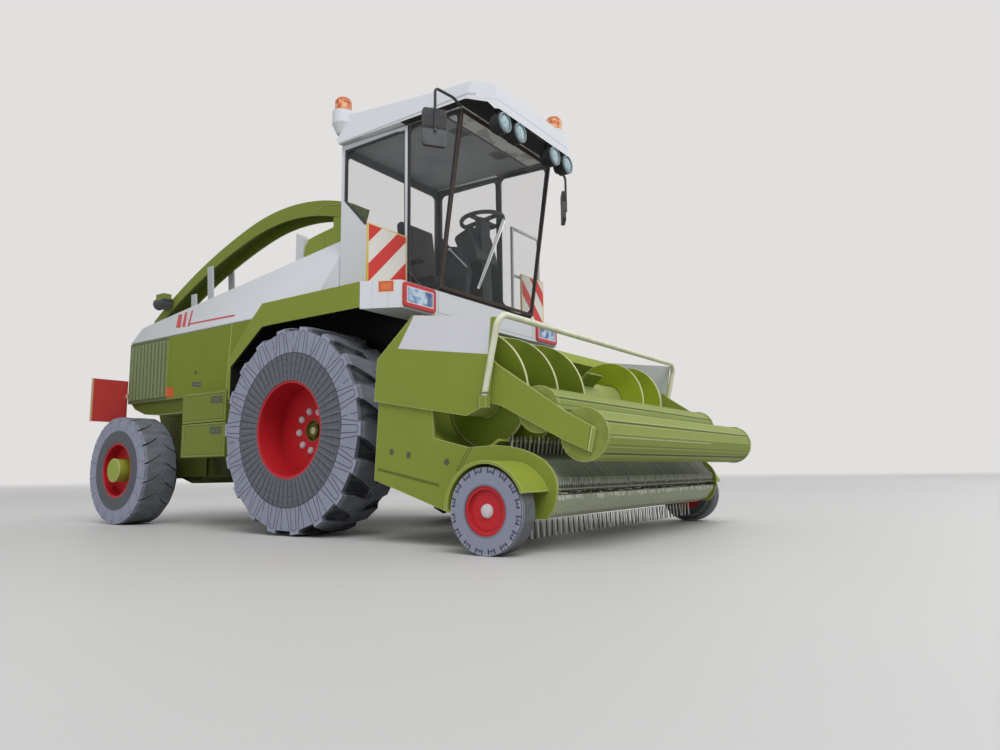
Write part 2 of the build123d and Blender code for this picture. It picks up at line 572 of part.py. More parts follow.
rail_stand_y, rail_left, rail_right = -32.8, cab_half + 3.1, cab_half + 25.0
near_board = (-cab_half - fit, -cab_half - fit - board_wide, fender_front + 3.5, fender_top + 0.2)
far_board = (rail_left + 4.6, rail_left + 4.6 + board_wide - 1.4, rail_stand_y - wire, fender_top + 0.2)
with BuildPart() as warning_boards:
    for x0, x1, y, z in (near_board, far_board):
        add_panel(front_plane(y), ((x0, z), (x1, z), (x1, z + board_high), (x0, z + board_high)), card)
finish(warning_boards, "warning_boards")

with BuildPart() as handrail:
    rail_top = cab_floor_z + 43.0
    for x in (rail_left, rail_right):
        add_box(x - wire / 2, x + wire / 2, rail_stand_y - wire / 2, rail_stand_y + wire / 2,
                fender_top + glue, rail_top)
    for z in (rail_top - 21.5, rail_top):
        add_box(rail_left - wire / 2, rail_right + wire / 2,
                rail_stand_y - wire / 2, rail_stand_y + wire / 2, z - wire, z)
finish(handrail, "handrail")

# ---------------------------------------------------------------- header
beam_y, beam_low, beam_top = trough_y - 9.0, auger_z + 17.4, auger_z + 20.6
lip_angle = -125.0                    # the trough's floor ends this far round from its back wall
with BuildPart() as header_trough:
    with BuildSketch(side_plane(0)) as section:
        with BuildLine() as edge:
            face_arc = CenterArc((auger_y, auger_z), auger_r + auger_gap, 0, lip_angle)
            back_arc = CenterArc((auger_y, auger_z), auger_r + auger_gap + card, 0, lip_angle)
            Line(face_arc @ 1, back_arc @ 1)
            Polyline(face_arc @ 0, (trough_y, beam_low - 2.0), (beam_y, beam_low), (beam_y, beam_top),
                     (trough_y + card, beam_top), back_arc @ 0)
        make_face(edge.edges())
    extrude(section.sketch, amount=trough_half, both=True)
finish(header_trough, "header_trough")

with BuildPart() as feeder_housing:
    feeder_front, feeder_rear = trough_y + card + glue, frame_front - 0.4
    feeder = ((feeder_front, 29.0), (feeder_front, 56.0), (feeder_rear, frame_top + 3.8),
              (feeder_rear, frame_low - 8.0))
    add_panel(side_plane(-17.0), feeder, 34.0)
finish(feeder_housing, "feeder_housing")

tread_gap = 0.8                       # gauge wheel to its arch
arch_r = gauge_r + tread_gap
upper_outline = ((-45.0, 43.2), (-46.2, 56.4), (-60.9, 68.4), (auger_y - 11.8, 63.8), (auger_y - 8.3, 39.5),
                 (auger_y - 0.8, 36.8))
lower_outline = ((-46.5, 46.0), (-44.6, 19.0), (-73.5, 9.9), (-80.0, 8.7), (drum_y - 12.7, 8.7),
                 (drum_y - 14.6, 11.0), (drum_y - 15.6, 13.8), (drum_y - 16.0, 16.8), (drum_y - 15.5, 19.6),
                 (drum_y - 14.2, 21.9), (drum_y - 12.0, 24.0), (drum_y - 9.0, 25.6), (drum_y - 5.6, 26.9),
                 (drum_y - 1.0, 27.9), (drum_y + 3.8, 28.3), (-81.0, 28.0), (-68.5, 31.0), (-67.5, 46.0))
plate_x = head_half + 0.2             # outer face of the lower plates
for side_name, side in (("left", 1), ("right", -1)):
    with BuildPart() as header_side:
        add_panel(side_plane(side * (head_half + 1.0)), upper_outline, -side * card)
        add_panel(side_plane(side * plate_x), lower_outline, -side * card)
        add_disc(side_plane(side * plate_x), (gauge_y, gauge_r), gauge_pin_r,
                 side * (gauge_face - gauge_dish - plate_x))
        add_side_box(side, head_half + 1.0, head_half + 2.8, rail_foot_y - 1.1, rail_foot_y + 1.1,
                     rail_foot_z - 3.0, rail_foot_z - glue)
    finish(header_side, f"header_side_{side_name}")

flight_root, flight_end = auger_tube_r - 0.6, 18.0
with BuildPart() as auger:
    add_disc(side_plane(0), (auger_y, auger_z), auger_tube_r, head_half + 0.2 - fit, both=True)
    for mirrored, outer in ((False, trough_half - 1.4), (True, trough_half - 1.4 - auger_pitch)):
        outer_end = Vector(-outer, front_axle_y + auger_y, auger_z)
        with BuildLine() as path:
            Helix(pitch=auger_pitch, height=outer - flight_end, radius=(auger_r + flight_root) / 2,
                  center=outer_end, direction=(1, 0, 0))
        start = path.line @ 0
        with BuildSketch(Plane(origin=start, x_dir=start - outer_end, z_dir=path.line % 0)) as strip_section:
            Rectangle(auger_r - flight_root, card)
        flight = sweep(strip_section.sketch, path=path.line, is_frenet=True, mode=Mode.PRIVATE)
        add(mirror(flight, about=Plane.YZ, mode=Mode.PRIVATE) if mirrored else flight)
    for k in range(4):
        angle = radians(90.0 * k + 47.0)
        across = (0.5 * card * -sin(angle), 0.5 * card * cos(angle))
        paddle = [(auger_y + reach * cos(angle) + way * across[0], auger_z + reach * sin(angle) + way * across[1])
                  for reach, way in ((auger_tube_r - 0.5, -1), (auger_r - 3.6, -1), (auger_r - 3.6, 1),
                                     (auger_tube_r - 0.5, 1))]
        add_panel(side_plane(-7.0), paddle, 11.0)
finish(auger, "auger")

roller_half, facets = trough_half - 1.1, 12
with BuildPart() as press_rollers:
    for y, z, r in ((press_y, press_z, press_r), (back_roll_y, back_roll_z, back_roll_r)):
        with BuildSketch(side_plane(0)) as ring:
            with Locations((y, z)):
                RegularPolygon(r - 0.2, facets)
        extrude(ring.sketch, amount=roller_half, both=True)
        for side in (-1, 1):
            add_disc(side_plane(side * roller_half), (y, z), r, side * card)
finish(press_rollers, "press_rollers")

arm_back = auger_y - auger_tube_r - 0.4
with BuildPart() as press_arms:
    arm_outline = ((arm_back, 53.0), (auger_y - 11.2, 50.5), (press_y + 4.6, press_z + 6.0),
                   (press_y - 3.9, press_z + 1.4), (press_y - 2.4, press_z - 4.6), (press_y + 5.6, press_z - 1.2),
                   (auger_y - 11.7, 39.2), (arm_back, 40.0))
    for side in (-1, 1):
        add_panel(side_plane(side * (roller_half + card + 0.2)), arm_outline, side * card)
finish(press_arms, "press_arms")

rail_half = head_half + 1.0 + rail_r + 0.1
with BuildPart() as header_rail:
    with BuildLine() as rail_line:
        FilletPolyline((-rail_half, front_axle_y + rail_foot_y, rail_foot_z),
                       (-rail_half, front_axle_y + rail_y, rail_z), (rail_half, front_axle_y + rail_y, rail_z),
                       (rail_half, front_axle_y + rail_foot_y, rail_foot_z), radius=4.0)
    with BuildSketch(Plane(origin=rail_line.line @ 0, z_dir=rail_line.line % 0)):
        Circle(rail_r)
    sweep()
finish(header_rail, "header_rail")

slot_z, slot_high, guard_y = 14.8, 1.4, drum_y - drum_r - 5.8
with BuildPart() as pickup_drum:
    add_disc(side_plane(0), (drum_y, drum_z), drum_r, trough_half, both=True)
    guard = ((drum_y - 1.5, drum_z + drum_r - 0.1), (guard_y + 4.6, drum_z + 7.2), (guard_y, drum_z + 2.4),
             (guard_y, drum_z - 3.4), (guard_y + 2.8, drum_z - 7.0), (guard_y + 6.8, drum_z - 8.5),
             (drum_y - 1.5, drum_z - drum_r + 0.1))
    add_panel(side_plane(0), guard, trough_half, both=True)
    add_box(-trough_half, trough_half, guard_y - 1, guard_y + 3.0, slot_z, slot_z + slot_high,
            mode=Mode.SUBTRACT)
finish(pickup_drum, "pickup_drum")

tine, tine_count = 0.5, 46
tine_table = (
    # way of the row's teeth: root y, root z, tip y, tip z
    (drum_y - 5.2, drum_z - drum_r - 0.2, drum_y - 4.4, 3.2),
    (guard_y + 2.4, slot_z + slot_high / 2, guard_y - 2.4, slot_z + 0.5),
    (drum_y + 0.6, drum_z + drum_r + 0.2, drum_y + 1.4, drum_z + drum_r + 5.0),
)
with BuildPart() as pickup_tines:
    tine_half = trough_half - 1.5
    pitch = 2 * tine_half / tine_count
    for root_y, root_z, end_y, end_z in tine_table:
        long = sqrt((end_y - root_y) ** 2 + (end_z - root_z) ** 2)
        rise = Vector(0, end_y - root_y, end_z - root_z)
        row = Plane(origin=(0, front_axle_y + root_y, root_z), x_dir=(1, 0, 0), z_dir=Vector(1, 0, 0).cross(rise))
        teeth = [(-tine_half, 0), (-tine_half, 1.0)]
        for k in range(tine_count):
            x = -tine_half + pitch * (k + 0.5)
            teeth += [(x - tine / 2, 1.0), (x - tine / 2, long), (x + tine / 2, long), (x + tine / 2, 1.0)]
        add_panel(row, teeth + [(tine_half, 1.0), (tine_half, 0)], tine / 2, both=True)
finish(pickup_tines, "pickup_tines")

for side_name, side in (("left", 1), ("right", -1)):
    with BuildPart() as gauge_fender:
        with BuildSketch(side_plane(side * (plate_x + glue))) as arch:
            with BuildLine() as edge:
                over = CenterArc((gauge_y, gauge_r), arch_r + card, 0, 158)
                under = CenterArc((gauge_y, gauge_r), arch_r, 0, 158)
                Line(over @ 0, under @ 0)
                Line(over @ 1, under @ 1)
            make_face(edge.edges())
        extrude(arch.sketch, amount=side * (gauge_face + 0.4 - plate_x))
    finish(gauge_fender, f"gauge_fender_{side_name}")
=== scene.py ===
import random
from collections import namedtuple
from functools import partialmethod
from math import atan2, cos, hypot, pi, radians, sin, tau

import bmesh
import bpy
from mathutils import Matrix, Vector


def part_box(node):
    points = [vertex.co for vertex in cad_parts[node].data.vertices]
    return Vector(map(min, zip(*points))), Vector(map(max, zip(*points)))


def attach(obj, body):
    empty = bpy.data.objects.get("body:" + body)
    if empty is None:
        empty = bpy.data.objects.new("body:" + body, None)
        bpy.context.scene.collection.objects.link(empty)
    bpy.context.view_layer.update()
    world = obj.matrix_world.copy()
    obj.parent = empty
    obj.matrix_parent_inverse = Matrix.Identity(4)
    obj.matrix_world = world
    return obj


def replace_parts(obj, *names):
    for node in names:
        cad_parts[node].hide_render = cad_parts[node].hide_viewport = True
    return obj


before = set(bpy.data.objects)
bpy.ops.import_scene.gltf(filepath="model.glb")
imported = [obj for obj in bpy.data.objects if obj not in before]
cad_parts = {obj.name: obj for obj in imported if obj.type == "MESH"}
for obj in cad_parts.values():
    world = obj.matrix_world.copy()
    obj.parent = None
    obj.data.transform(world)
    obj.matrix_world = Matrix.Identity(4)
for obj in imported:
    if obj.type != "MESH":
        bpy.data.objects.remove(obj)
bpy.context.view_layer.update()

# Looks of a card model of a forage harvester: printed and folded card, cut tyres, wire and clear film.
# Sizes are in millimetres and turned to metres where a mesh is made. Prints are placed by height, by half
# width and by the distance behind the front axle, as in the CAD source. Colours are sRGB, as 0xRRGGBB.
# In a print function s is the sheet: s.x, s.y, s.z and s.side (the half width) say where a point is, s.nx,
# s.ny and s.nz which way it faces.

MM = 0.001
SIDES = (("left", 1), ("right", -1))
random.seed(4)

AXLE_Y = sum(corner.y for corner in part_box("front_tyre_left")) / 2 / MM      # the front axle; y starts there
Wheel = namedtuple("Wheel", "y z r face width")


def wheel_of(name):
    """Centre, radius, outer face and width of a left wheel, from its CAD tyre."""
    low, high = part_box(f"{name}_tyre_left")
    return Wheel((low.y + high.y) / 2 / MM - AXLE_Y, (low.z + high.z) / 2 / MM, (high.z - low.z) / 2 / MM,
                 high.x / MM, (high.x - low.x) / MM)


FRONT, REAR, GAUGE = wheel_of("front"), wheel_of("rear"), wheel_of("gauge")

GREEN, GREEN_BODY, GREEN_DEEP, GREEN_DARK, GREEN_PALE = 0x869436, 0x768420, 0x6C7A26, 0x343C10, 0xB0BA70
GREEN_EDGE = 0xD0D4A0
WHITE, CREAM, GREY, LILAC = 0xD6D8DD, 0xD6D4BC, 0x686A6C, 0x8D90A3
# The second red is the painted shade inside the rims.
RED, RED_PAINTED_SHADE, RED_PRINT = 0xC4202A, 0x96101A, 0xB82C30
BACKDROP = 0xE2E0DF


def ink(code):
    """A colour as the linear colour that a shader takes."""
    shares = ((code >> bits & 255) / 255 for bits in (16, 8, 0))
    return tuple(c / 12.92 if c <= 0.04 else ((c + 0.055) / 1.055) ** 2.4 for c in shares) + (1.0,)


# ---------------------------------------------------------------- nodes and sheets

def join(tree, entry, given):
    """Set a node's input to a number or a colour, or link a socket or a Value to it."""
    given = getattr(given, "socket", given)
    if isinstance(given, bpy.types.NodeSocket):
        tree.links.new(given, entry)
    else:
        entry.default_value = given


def add_node(tree, kind, entries=(), **settings):
    """A new shader node with its settings, and with what each of its inputs is given."""
    node = tree.nodes.new(f"ShaderNode{kind}")
    for name, setting in settings.items():
        setattr(node, name, setting)
    for key, given in dict(entries).items():
        join(tree, node.inputs[key], given)
    return node


class Value:
    """A number that varies over a surface; the usual signs add Math nodes, and ~ turns a mask round."""

    def __init__(self, tree, socket):
        self.tree, self.socket = tree, socket

    def math(self, operation, *others):
        node = add_node(self.tree, "Math", enumerate((self,) + others), operation=operation)
        return Value(self.tree, node.outputs[0])

    __add__ = partialmethod(math, "ADD")
    __sub__ = partialmethod(math, "SUBTRACT")
    __mul__ = partialmethod(math, "MULTIPLY")
    __truediv__ = partialmethod(math, "DIVIDE")
    __abs__ = partialmethod(math, "ABSOLUTE")
    most = partialmethod(math, "MAXIMUM")
    fract = partialmethod(math, "FRACT")
    root = partialmethod(math, "SQRT")

    def __neg__(self):
        return self * -1.0

    def __invert__(self):
        return -self + 1.0

    def over(self, edge, soft=0.12):
        """1 above an edge and 0 below it, with a soft change."""
        ends = {"From Min": edge - soft / 2, "From Max": edge + soft / 2}
        return Value(self.tree, add_node(self.tree, "MapRange", {"Value": self, **ends}).outputs["Result"])

    def under(self, edge, soft=0.12):
        return (-self).over(-edge, soft)

    def between(self, low, high, soft=0.12):
        return self.over(low, soft) * self.under(high, soft)

    def near(self, middle, reach, soft=0.12):
        """1 within a reach of a middle."""
        return abs(self - middle).under(reach, soft)

    def teeth(self, pitch):
        """0.5 where one pitch ends and the next begins, 0 midway."""
        return abs((self / pitch).fract() - 0.5)


class Sheet:
    """The node sheet of one material. Prints are laid on top of each other with lay()."""

    def __init__(self, name, colour, prints=None):
        self.material = bpy.data.materials.new(name)
        self.material.use_nodes = True
        self.tree = self.material.node_tree
        self.shader = self.tree.nodes["Principled BSDF"]
        coordinates = self.add("TexCoord").outputs
        self.place, self.colour = coordinates["Object"], ink(colour)
        x, y, z = self.split(self.place)
        self.x, self.y, self.z = x / MM, y / MM - AXLE_Y, z / MM
        self.side = abs(self.x)
        self.nx, self.ny, self.nz = self.split(coordinates["Normal"])
        if prints:
            prints(self)

    def add(self, kind, entries=(), **settings):
        return add_node(self.tree, kind, entries, **settings)

    def split(self, vector):
        return [Value(self.tree, out) for out in self.add("SeparateXYZ", {0: vector}).outputs]

    def noise(self, per_mm, detail=2.0, stretch=None):
        vector = self.place
        if stretch:
            vector = self.add("Mapping", {"Vector": vector, "Scale": stretch}).outputs["Vector"]
        node = self.add("TexNoise", {"Scale": per_mm / MM, "Detail": detail, "Vector": vector})
        return Value(self.tree, node.outputs[0])

    def outside(self, corners, across=None, up=None):
        """Distance outside a convex outline in (y, z), negative inside; its corners run anticlockwise."""
        across, up, found = across or self.y, up or self.z, None
        for (a0, b0), (a1, b1) in zip(corners, corners[1:] + corners[:1]):
            long = hypot(a1 - a0, b1 - b0)
            na, nb = (b1 - b0) / long, (a0 - a1) / long
            far = across * na + (up * nb - (na * a0 + nb * b0))
            found = far if found is None else found.most(far)
        return found

    def box(self, a0, b0, a1, b1, across=None, up=None):
        """Distance outside an upright rectangle."""
        return self.outside([(a0, b0), (a1, b0), (a1, b1), (a0, b1)], across, up)

    def away(self, y, z):
        """Distance from an axle at (y, z)."""
        dy, dz = self.y - y, self.z - z
        return (dy * dy + dz * dz).root()

    def turn(self, y, z):
        """Angle about an axle at (y, z) in degrees, from the rear upwards."""
        return (self.z - z).math("ARCTAN2", self.y - y) * (180.0 / pi)

    def lay(self, mask, colour):
        """Lay another colour over the sheet where the mask is 1."""
        mix = self.add("Mix", {0: mask, 6: self.colour, 7: ink(colour)}, data_type="RGBA")
        self.colour = mix.outputs[2]

    def on(self, part):
        """A lay() that stays on one part of the sheet."""
        return lambda mask, colour: self.lay(part * mask, colour)

    def shade(self, amount):
        """Multiply the colour by a number near 1."""
        colour = self.colour[:3] if isinstance(self.colour, tuple) else self.colour
        self.colour = self.add("VectorMath", {0: colour, "Scale": amount}, operation="SCALE").outputs[0]

    def folds(self, reach=0.28):
        """1 on folds and cut edges, from a rounded normal against the true one."""
        bevel, flat = self.add("Bevel", {"Radius": reach * MM}, samples=4), self.add("NewGeometry")
        dot = self.add("VectorMath", {0: bevel.outputs[0], 1: flat.outputs["Normal"]}, operation="DOT_PRODUCT")
        return Value(self.tree, dot.outputs["Value"]).under(0.955, 0.07)

    def bump(self, height, distance):
        node = self.add("Bump", {"Strength": 1.0, "Distance": distance * MM, "Height": height})
        join(self.tree, self.shader.inputs["Normal"], node.outputs[0])

    def done(self, **settings):
        """Hand the colour and the settings to the shader, and return the material."""
        join(self.tree, self.shader.inputs["Base Color"], self.colour)
        for name, setting in settings.items():
            join(self.tree, self.shader.inputs[name.replace("_", " ")], setting)
        return self.material


def card(name, colour, prints=None, edge=(CREAM, 0.55), rough=0.62, tone=0.07):
    """Printed card: fibre and ink mottling, a matt sheen, and paler paper on folds and cut edges.

    edge is the edges' colour and how much of it shows, or None.
    """
    s = Sheet(name, colour, prints)
    fibre, cloud = s.noise(2.6, 3.0), s.noise(0.05)
    s.shade((fibre - 0.5) * (1.6 * tone) + (cloud - 0.5) * tone + 1.0)
    if edge:
        ragged = s.noise(0.9).between(0.30, 0.75, 0.2) * 0.5 + 0.5
        s.lay(s.folds() * ragged * edge[1], edge[0])
    grain = s.noise(5.0)
    s.bump(grain, 0.012)
    return s.done(Specular_IOR_Level=0.35, Roughness=grain.between(0.2, 0.8, 0.6) * 0.08 + (rough - 0.04))


def wire_metal(name, colour, rough=0.35, prints=None, metallic=0.85):
    """Drawn wire: bright metal with fine streaks and dull spots."""
    s = Sheet(name, colour, prints)
    streak = s.noise(3.0)
    s.shade((streak - 0.5) * 0.5 + 1.0)
    s.bump(streak, 0.02)
    return s.done(Metallic=metallic, Roughness=rough)


def paint(material, *nodes):
    """Give CAD nodes a material."""
    for name in nodes:
        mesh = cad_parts[name].data
        mesh.materials.clear()
        mesh.materials.append(material)


def printed(name, colour, *nodes, **settings):
    """Decorate a print function: its card is made at once and goes on the CAD nodes."""
    def make(prints):
        paint(card(name, colour, prints, **settings), *nodes)
        return prints
    return make


# ---------------------------------------------------------------- forms and places

def new_object(name, data):
    """An object linked to the scene."""
    made = bpy.data.objects.new(name, data)
    bpy.context.scene.collection.objects.link(made)
    return made


class Form:
    """Corners and faces of one piece, in millimetres, y counted from the front axle."""

    def __init__(self):
        self.corners, self.faces = [], []

    def add(self, corners, faces):
        first = len(self.corners)
        self.corners += [tuple(c) for c in corners]
        self.faces += [[first + i for i in face] for face in faces]

    def slab(self, outline, depth):
        """A flat outline given thickness along a vector."""
        n, outline = len(outline), [Vector(p) for p in outline]
        self.add(outline + [p + Vector(depth) for p in outline],
                 [list(range(n))[::-1], list(range(n, 2 * n))]
                 + [[i, (i + 1) % n, n + (i + 1) % n, n + i] for i in range(n)])

    def lathe(self, profile, centre, steps, closed=True, tip=None):
        """A (way along the axis, radius) profile turned about an axis: +X, or towards tip."""
        axis = Vector(tip or (1, 0, 0)).normalized()
        first, second = Vector((0, 1, 0)), Vector((0, 0, 1))
        if tip:
            first = axis.orthogonal().normalized()
            second = axis.cross(first)
        n, rows, faces = len(profile), [], []
        for k in range(steps):
            out = first * cos(tau * k / steps) + second * sin(tau * k / steps)
            rows += [Vector(centre) + axis * along + out * radius for along, radius in profile]
            here, there = k * n, ((k + 1) % steps) * n
            for i in range(n if closed else n - 1):
                j = (i + 1) % n
                faces.append([here + i, here + j, there + j, there + i])
        if not closed:
            faces += [[k * n for k in range(steps)][::-1], [k * n + n - 1 for k in range(steps)]]
        self.add(rows, faces)

    def tube(self, points, radius, sides=8):
        """A round wire through points."""
        points, rows, last = [Vector(p) for p in points], [], len(points) - 1
        for i, point in enumerate(points):
            way = (points[min(i + 1, last)] - points[max(i - 1, 0)]).normalized()
            first = way.cross(Vector((1, 0.02, 0.01))).normalized()
            second = way.cross(first)
            rows += [point + (first * cos(tau * k / sides) + second * sin(tau * k / sides)) * radius
                     for k in range(sides)]
        faces = [[i * sides + k, i * sides + j, (i + 1) * sides + j, (i + 1) * sides + k]
                 for i in range(last) for k, j in zip(range(sides), [*range(1, sides), 0])]
        self.add(rows, faces + [list(range(sides))[::-1], [last * sides + k for k in range(sides)]])

    def make(self, name, material, slot, smooth=0.0, body="machine"):
        """The piece: edges under the smooth angle, in degrees, are shaded round."""
        mesh = bpy.data.meshes.new(name)
        mesh.from_pydata([(x * MM, (y + AXLE_Y) * MM, z * MM) for x, y, z in self.corners], [], self.faces)
        work = bmesh.new()
        work.from_mesh(mesh)
        bmesh.ops.recalc_face_normals(work, faces=work.faces)
        for edge in work.edges:
            edge.smooth = len(edge.link_faces) == 2 and edge.calc_face_angle(9.0) < radians(smooth)
        for face in work.faces:
            face.smooth = smooth > 0
        work.to_mesh(mesh)
        work.free()
        mesh.materials.append(material)
        piece = new_object(name, mesh)
        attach(piece, body)
        return piece


def place(name):
    """Box (low, high) of a CAD node, in millimetres from the front axle."""
    return [Vector(corner) / MM - Vector((0, AXLE_Y, 0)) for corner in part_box(name)]


def islands(name):
    """Boxes like place()'s of the separate pieces of a CAD node, in order of x."""
    work = bmesh.new()
    work.from_mesh(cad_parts[name].data)
    bmesh.ops.remove_doubles(work, verts=work.verts, dist=1e-6)
    found, left = [], set(work.verts)
    while left:
        group, queue = [], [left.pop()]
        while queue:
            vert = queue.pop()
            group.append(vert.co.copy())
            reached = {edge.other_vert(vert) for edge in vert.link_edges} & left
            left -= reached
            queue += reached
        low, high = ([pick(c[i] for c in group) / MM for i in range(3)] for pick in (min, max))
        low[1], high[1] = low[1] - AXLE_Y, high[1] - AXLE_Y
        found.append((Vector(low), Vector(high)))
    work.free()
    return sorted(found, key=lambda pair: pair[0].x)


# ---------------------------------------------------------------- camera, light and floor

camera = new_object("camera", bpy.data.cameras.new("camera"))
bpy.context.scene.camera = camera
camera.data.sensor_width, camera.data.lens = 36.0, 25.952
camera.data.clip_start, camera.data.clip_end = 0.005, 50.0
yaw, pitch, roll = radians(34.917), radians(7.583), radians(-0.738)
look = Vector((cos(pitch) * cos(yaw), cos(pitch) * sin(yaw), sin(pitch)))
right = Vector((sin(yaw), -cos(yaw), 0.0))
above = right.cross(look)
right, above = right * cos(roll) + above * sin(roll), above * cos(roll) - right * sin(roll)
camera.location = Vector((-223.71, AXLE_Y - 205.08, 21.27)) * MM
camera.rotation_mode = "QUATERNION"
camera.rotation_quaternion = Matrix((right, above, -look)).transposed().to_quaternion()
bpy.context.scene.view_settings.view_transform = "Standard"

world = bpy.data.worlds.new("studio")
bpy.context.scene.world = world
world.use_nodes = True
tree = world.node_tree
background = tree.nodes["Background"]
background.inputs["Color"].default_value = (0.93, 0.96, 1.0, 1.0)
background.inputs["Strength"].default_value = 0.52
backdrop = add_node(tree, "Background", {"Color": ink(BACKDROP), "Strength": 1.0})
rays = add_node(tree, "LightPath").outputs
from_camera, through, glossy = (Value(tree, rays[f"Is {kind} Ray"])
                                for kind in ("Camera", "Transmission", "Glossy"))
seen = from_camera.most(through).most(glossy)
blend = add_node(tree, "MixShader", {0: seen, 1: background.outputs[0], 2: backdrop.outputs[0]})
tree.links.new(blend.outputs[0], tree.nodes["World Output"].inputs["Surface"])


def add_lamp(name, place_m, aim_m, size, power):
    """A soft square lamp aimed at a point."""
    lamp = new_object(name, bpy.data.lights.new(name, "AREA"))
    lamp.data.shape, lamp.data.size, lamp.data.energy = "SQUARE", size, power
    lamp.location = place_m
    lamp.rotation_mode = "QUATERNION"
    lamp.rotation_quaternion = (Vector(aim_m) - Vector(place_m)).to_track_quat("-Z", "Y")


add_lamp("key", (-0.55, -0.75, 1.15), (0, 0, 0.05), 0.9, 13.0)
add_lamp("fill", (0.9, -0.5, 0.7), (0, 0, 0.06), 1.0, 3.0)

FLOOR_HALF_M, FADE_AT, FADE_SOFT = 4.0, 1500.0, 1900.0    # far off the floor takes the backdrop's colour
floor_mesh = bpy.data.meshes.new("floor")
floor_mesh.from_pydata([(x * FLOOR_HALF_M, y * FLOOR_HALF_M, 0) for x, y in ((-1, -1), (1, -1), (1, 1), (-1, 1))],
                       [], [[0, 1, 2, 3]])
table_top = Sheet("table_top", 0xC5C4C2)
table_top.shade((table_top.noise(0.02) - 0.5) * 0.03 + 1.0)
from_middle = (table_top.x * table_top.x + table_top.y * table_top.y).root()
floor_mesh.materials.append(table_top.done(Roughness=0.55))
tree = table_top.tree
far_off = add_node(tree, "Emission", {"Color": ink(BACKDROP)})
blend = add_node(tree, "MixShader", {0: from_middle.over(FADE_AT, FADE_SOFT), 1: table_top.shader.outputs[0],
                                     2: far_off.outputs[0]})
tree.links.new(blend.outputs[0], tree.nodes["Material Output"].inputs["Surface"])
new_object("floor", floor_mesh)


# ---------------------------------------------------------------- body, hood and fenders

hood_low_z = place("hood")[0].z
body_low_z = place("body_shell")[0].z
fender_top_z = place("fender_left")[1].z
cab_floor_z = place("cab_floor")[1].z
cab_top_z = place("cab_side_left")[1].z
cab_half = place("cab_side_left")[1].x
GRILLE_Y = 103.4                          # from here back the body's sides are grilles


def plain_green(s):
    """Green print with faint darker mottling."""
    s.lay(s.noise(0.12).between(0.5, 0.8, 0.3) * 0.10, GREEN_DEEP)


@printed("shell_card", GREEN_BODY, "body_shell")
def shell_prints(s):
    """Side grilles, reflector, latch, keyhole and panel line of the green body; painted shade under it and low
    down.
    """
    plain_green(s)
    lay = s.on(s.side.over(44.8))
    lay(s.y.over(GRILLE_Y), 0x58663A)
    s.lay(s.y.over(GRILLE_Y) * s.side.over(45.3), 0x78865A)
    reflector = s.box(97.6, 56.0, 103.0, 60.2)
    lay(reflector.under(0.0), 0xCE5C28)
    lay(abs(reflector).under(0.16) * 0.6, 0x963C1E)
    handle = s.outside([(76.8, 58.7), (83.6, 59.6), (83.6, 61.4), (76.8, 60.9)])
    lay(handle.under(0.0, 0.3), 0x4E5254)
    lay((handle + 0.7).under(0.0, 0.3) * 0.6, 0x808482)
    lay(s.away(81.0, 65.4).under(0.95, 0.3) * 0.8, 0x424C18)
    line = s.y - 56.2 + (s.z - 83.0) * 0.082
    lay(abs(line).under(0.26, 0.2) * 0.8, GREEN_PALE)
    lay(line.near(-0.4, 0.18, 0.2) * 0.5, GREEN_DEEP)
    lay = s.on(s.ny.over(0.6) * s.side.under(34.0, 0.3))
    for z in (58.0, 65.0, 72.0, 79.0):                   # louvres at the back
        lay(s.z.near(z, 0.9, 0.2) * 0.75, 0x343C14)
        lay(s.z.near(z + 1.1, 0.2, 0.2) * 0.6, GREEN_PALE)
    # Painted shade: downward faces, a band along the bottom and the low inner faces are darkened.
    s.lay(s.nz.under(-0.5) * 0.7, GREEN_DARK)
    s.lay(s.z.under(body_low_z + 6.5, 0.3) * 0.6, 0x465212)
    s.lay(s.side.under(44.0) * s.z.under(body_low_z + 8.0) * s.ny.over(-0.6) * 0.35, GREEN_DARK)
    s.lay(s.z.under(body_low_z + 0.5) * 0.35, GREEN_PALE)


@printed("hood_card", 0xCFD1D5, "hood", edge=(0xE2E4E9, 0.35), tone=0.03)
def hood_prints(s):
    """Three slanted bars and a thin line on the white side, both plain; painted shade at the rear and lower edge,
    painted light on forward faces.
    """
    # Painted shade: the hood greys towards its rear.
    s.lay(s.y.over(84.0, 104.0) * 0.55, 0x969896)
    # Painted light: faces turned forwards are lighter, so no fold shows.
    s.lay(s.ny.under(-0.25, 0.1), 0xD6D9E2)
    lay = s.on(s.side.over(30.0))
    for bar in ([(98.2, 87.7), (102.4, 88.3), (109.1, 96.2), (105.4, 95.7)],
                [(94.3, 87.5), (97.3, 88.0), (104.1, 96.6), (102.0, 96.3)],
                [(90.9, 87.4), (92.6, 87.6), (99.2, 97.0), (97.8, 96.8)],
                [(57.9, 87.6), (92.0, 88.3), (93.0, 89.2), (58.7, 88.6)]):
        out = s.outside(bar)
        lay(out.under(0.0, 0.3) * 0.92, RED_PRINT)
        lay(abs(out).under(0.14, 0.12) * 0.35, 0x963C46)
    # Painted shadow line along the hood's lower edge.
    s.lay(s.z.near(hood_low_z + 0.3, 0.3) * 0.4, GREY)
    rear = s.ny.over(0.6)
    for x in (-27.0, -13.5, 0.0, 13.5, 27.0):
        s.lay(rear * s.x.near(x, 0.18, 0.15) * 0.5, GREY)
    louvres = s.nz.over(0.7) * s.y.between(62.0, 94.0, 0.1) * s.side.between(20.5, 33.0, 0.2)
    s.lay(louvres * ((s.y - 62.0) / 3.2).fract().under(0.28, 0.12) * 0.6, 0x787A7C)


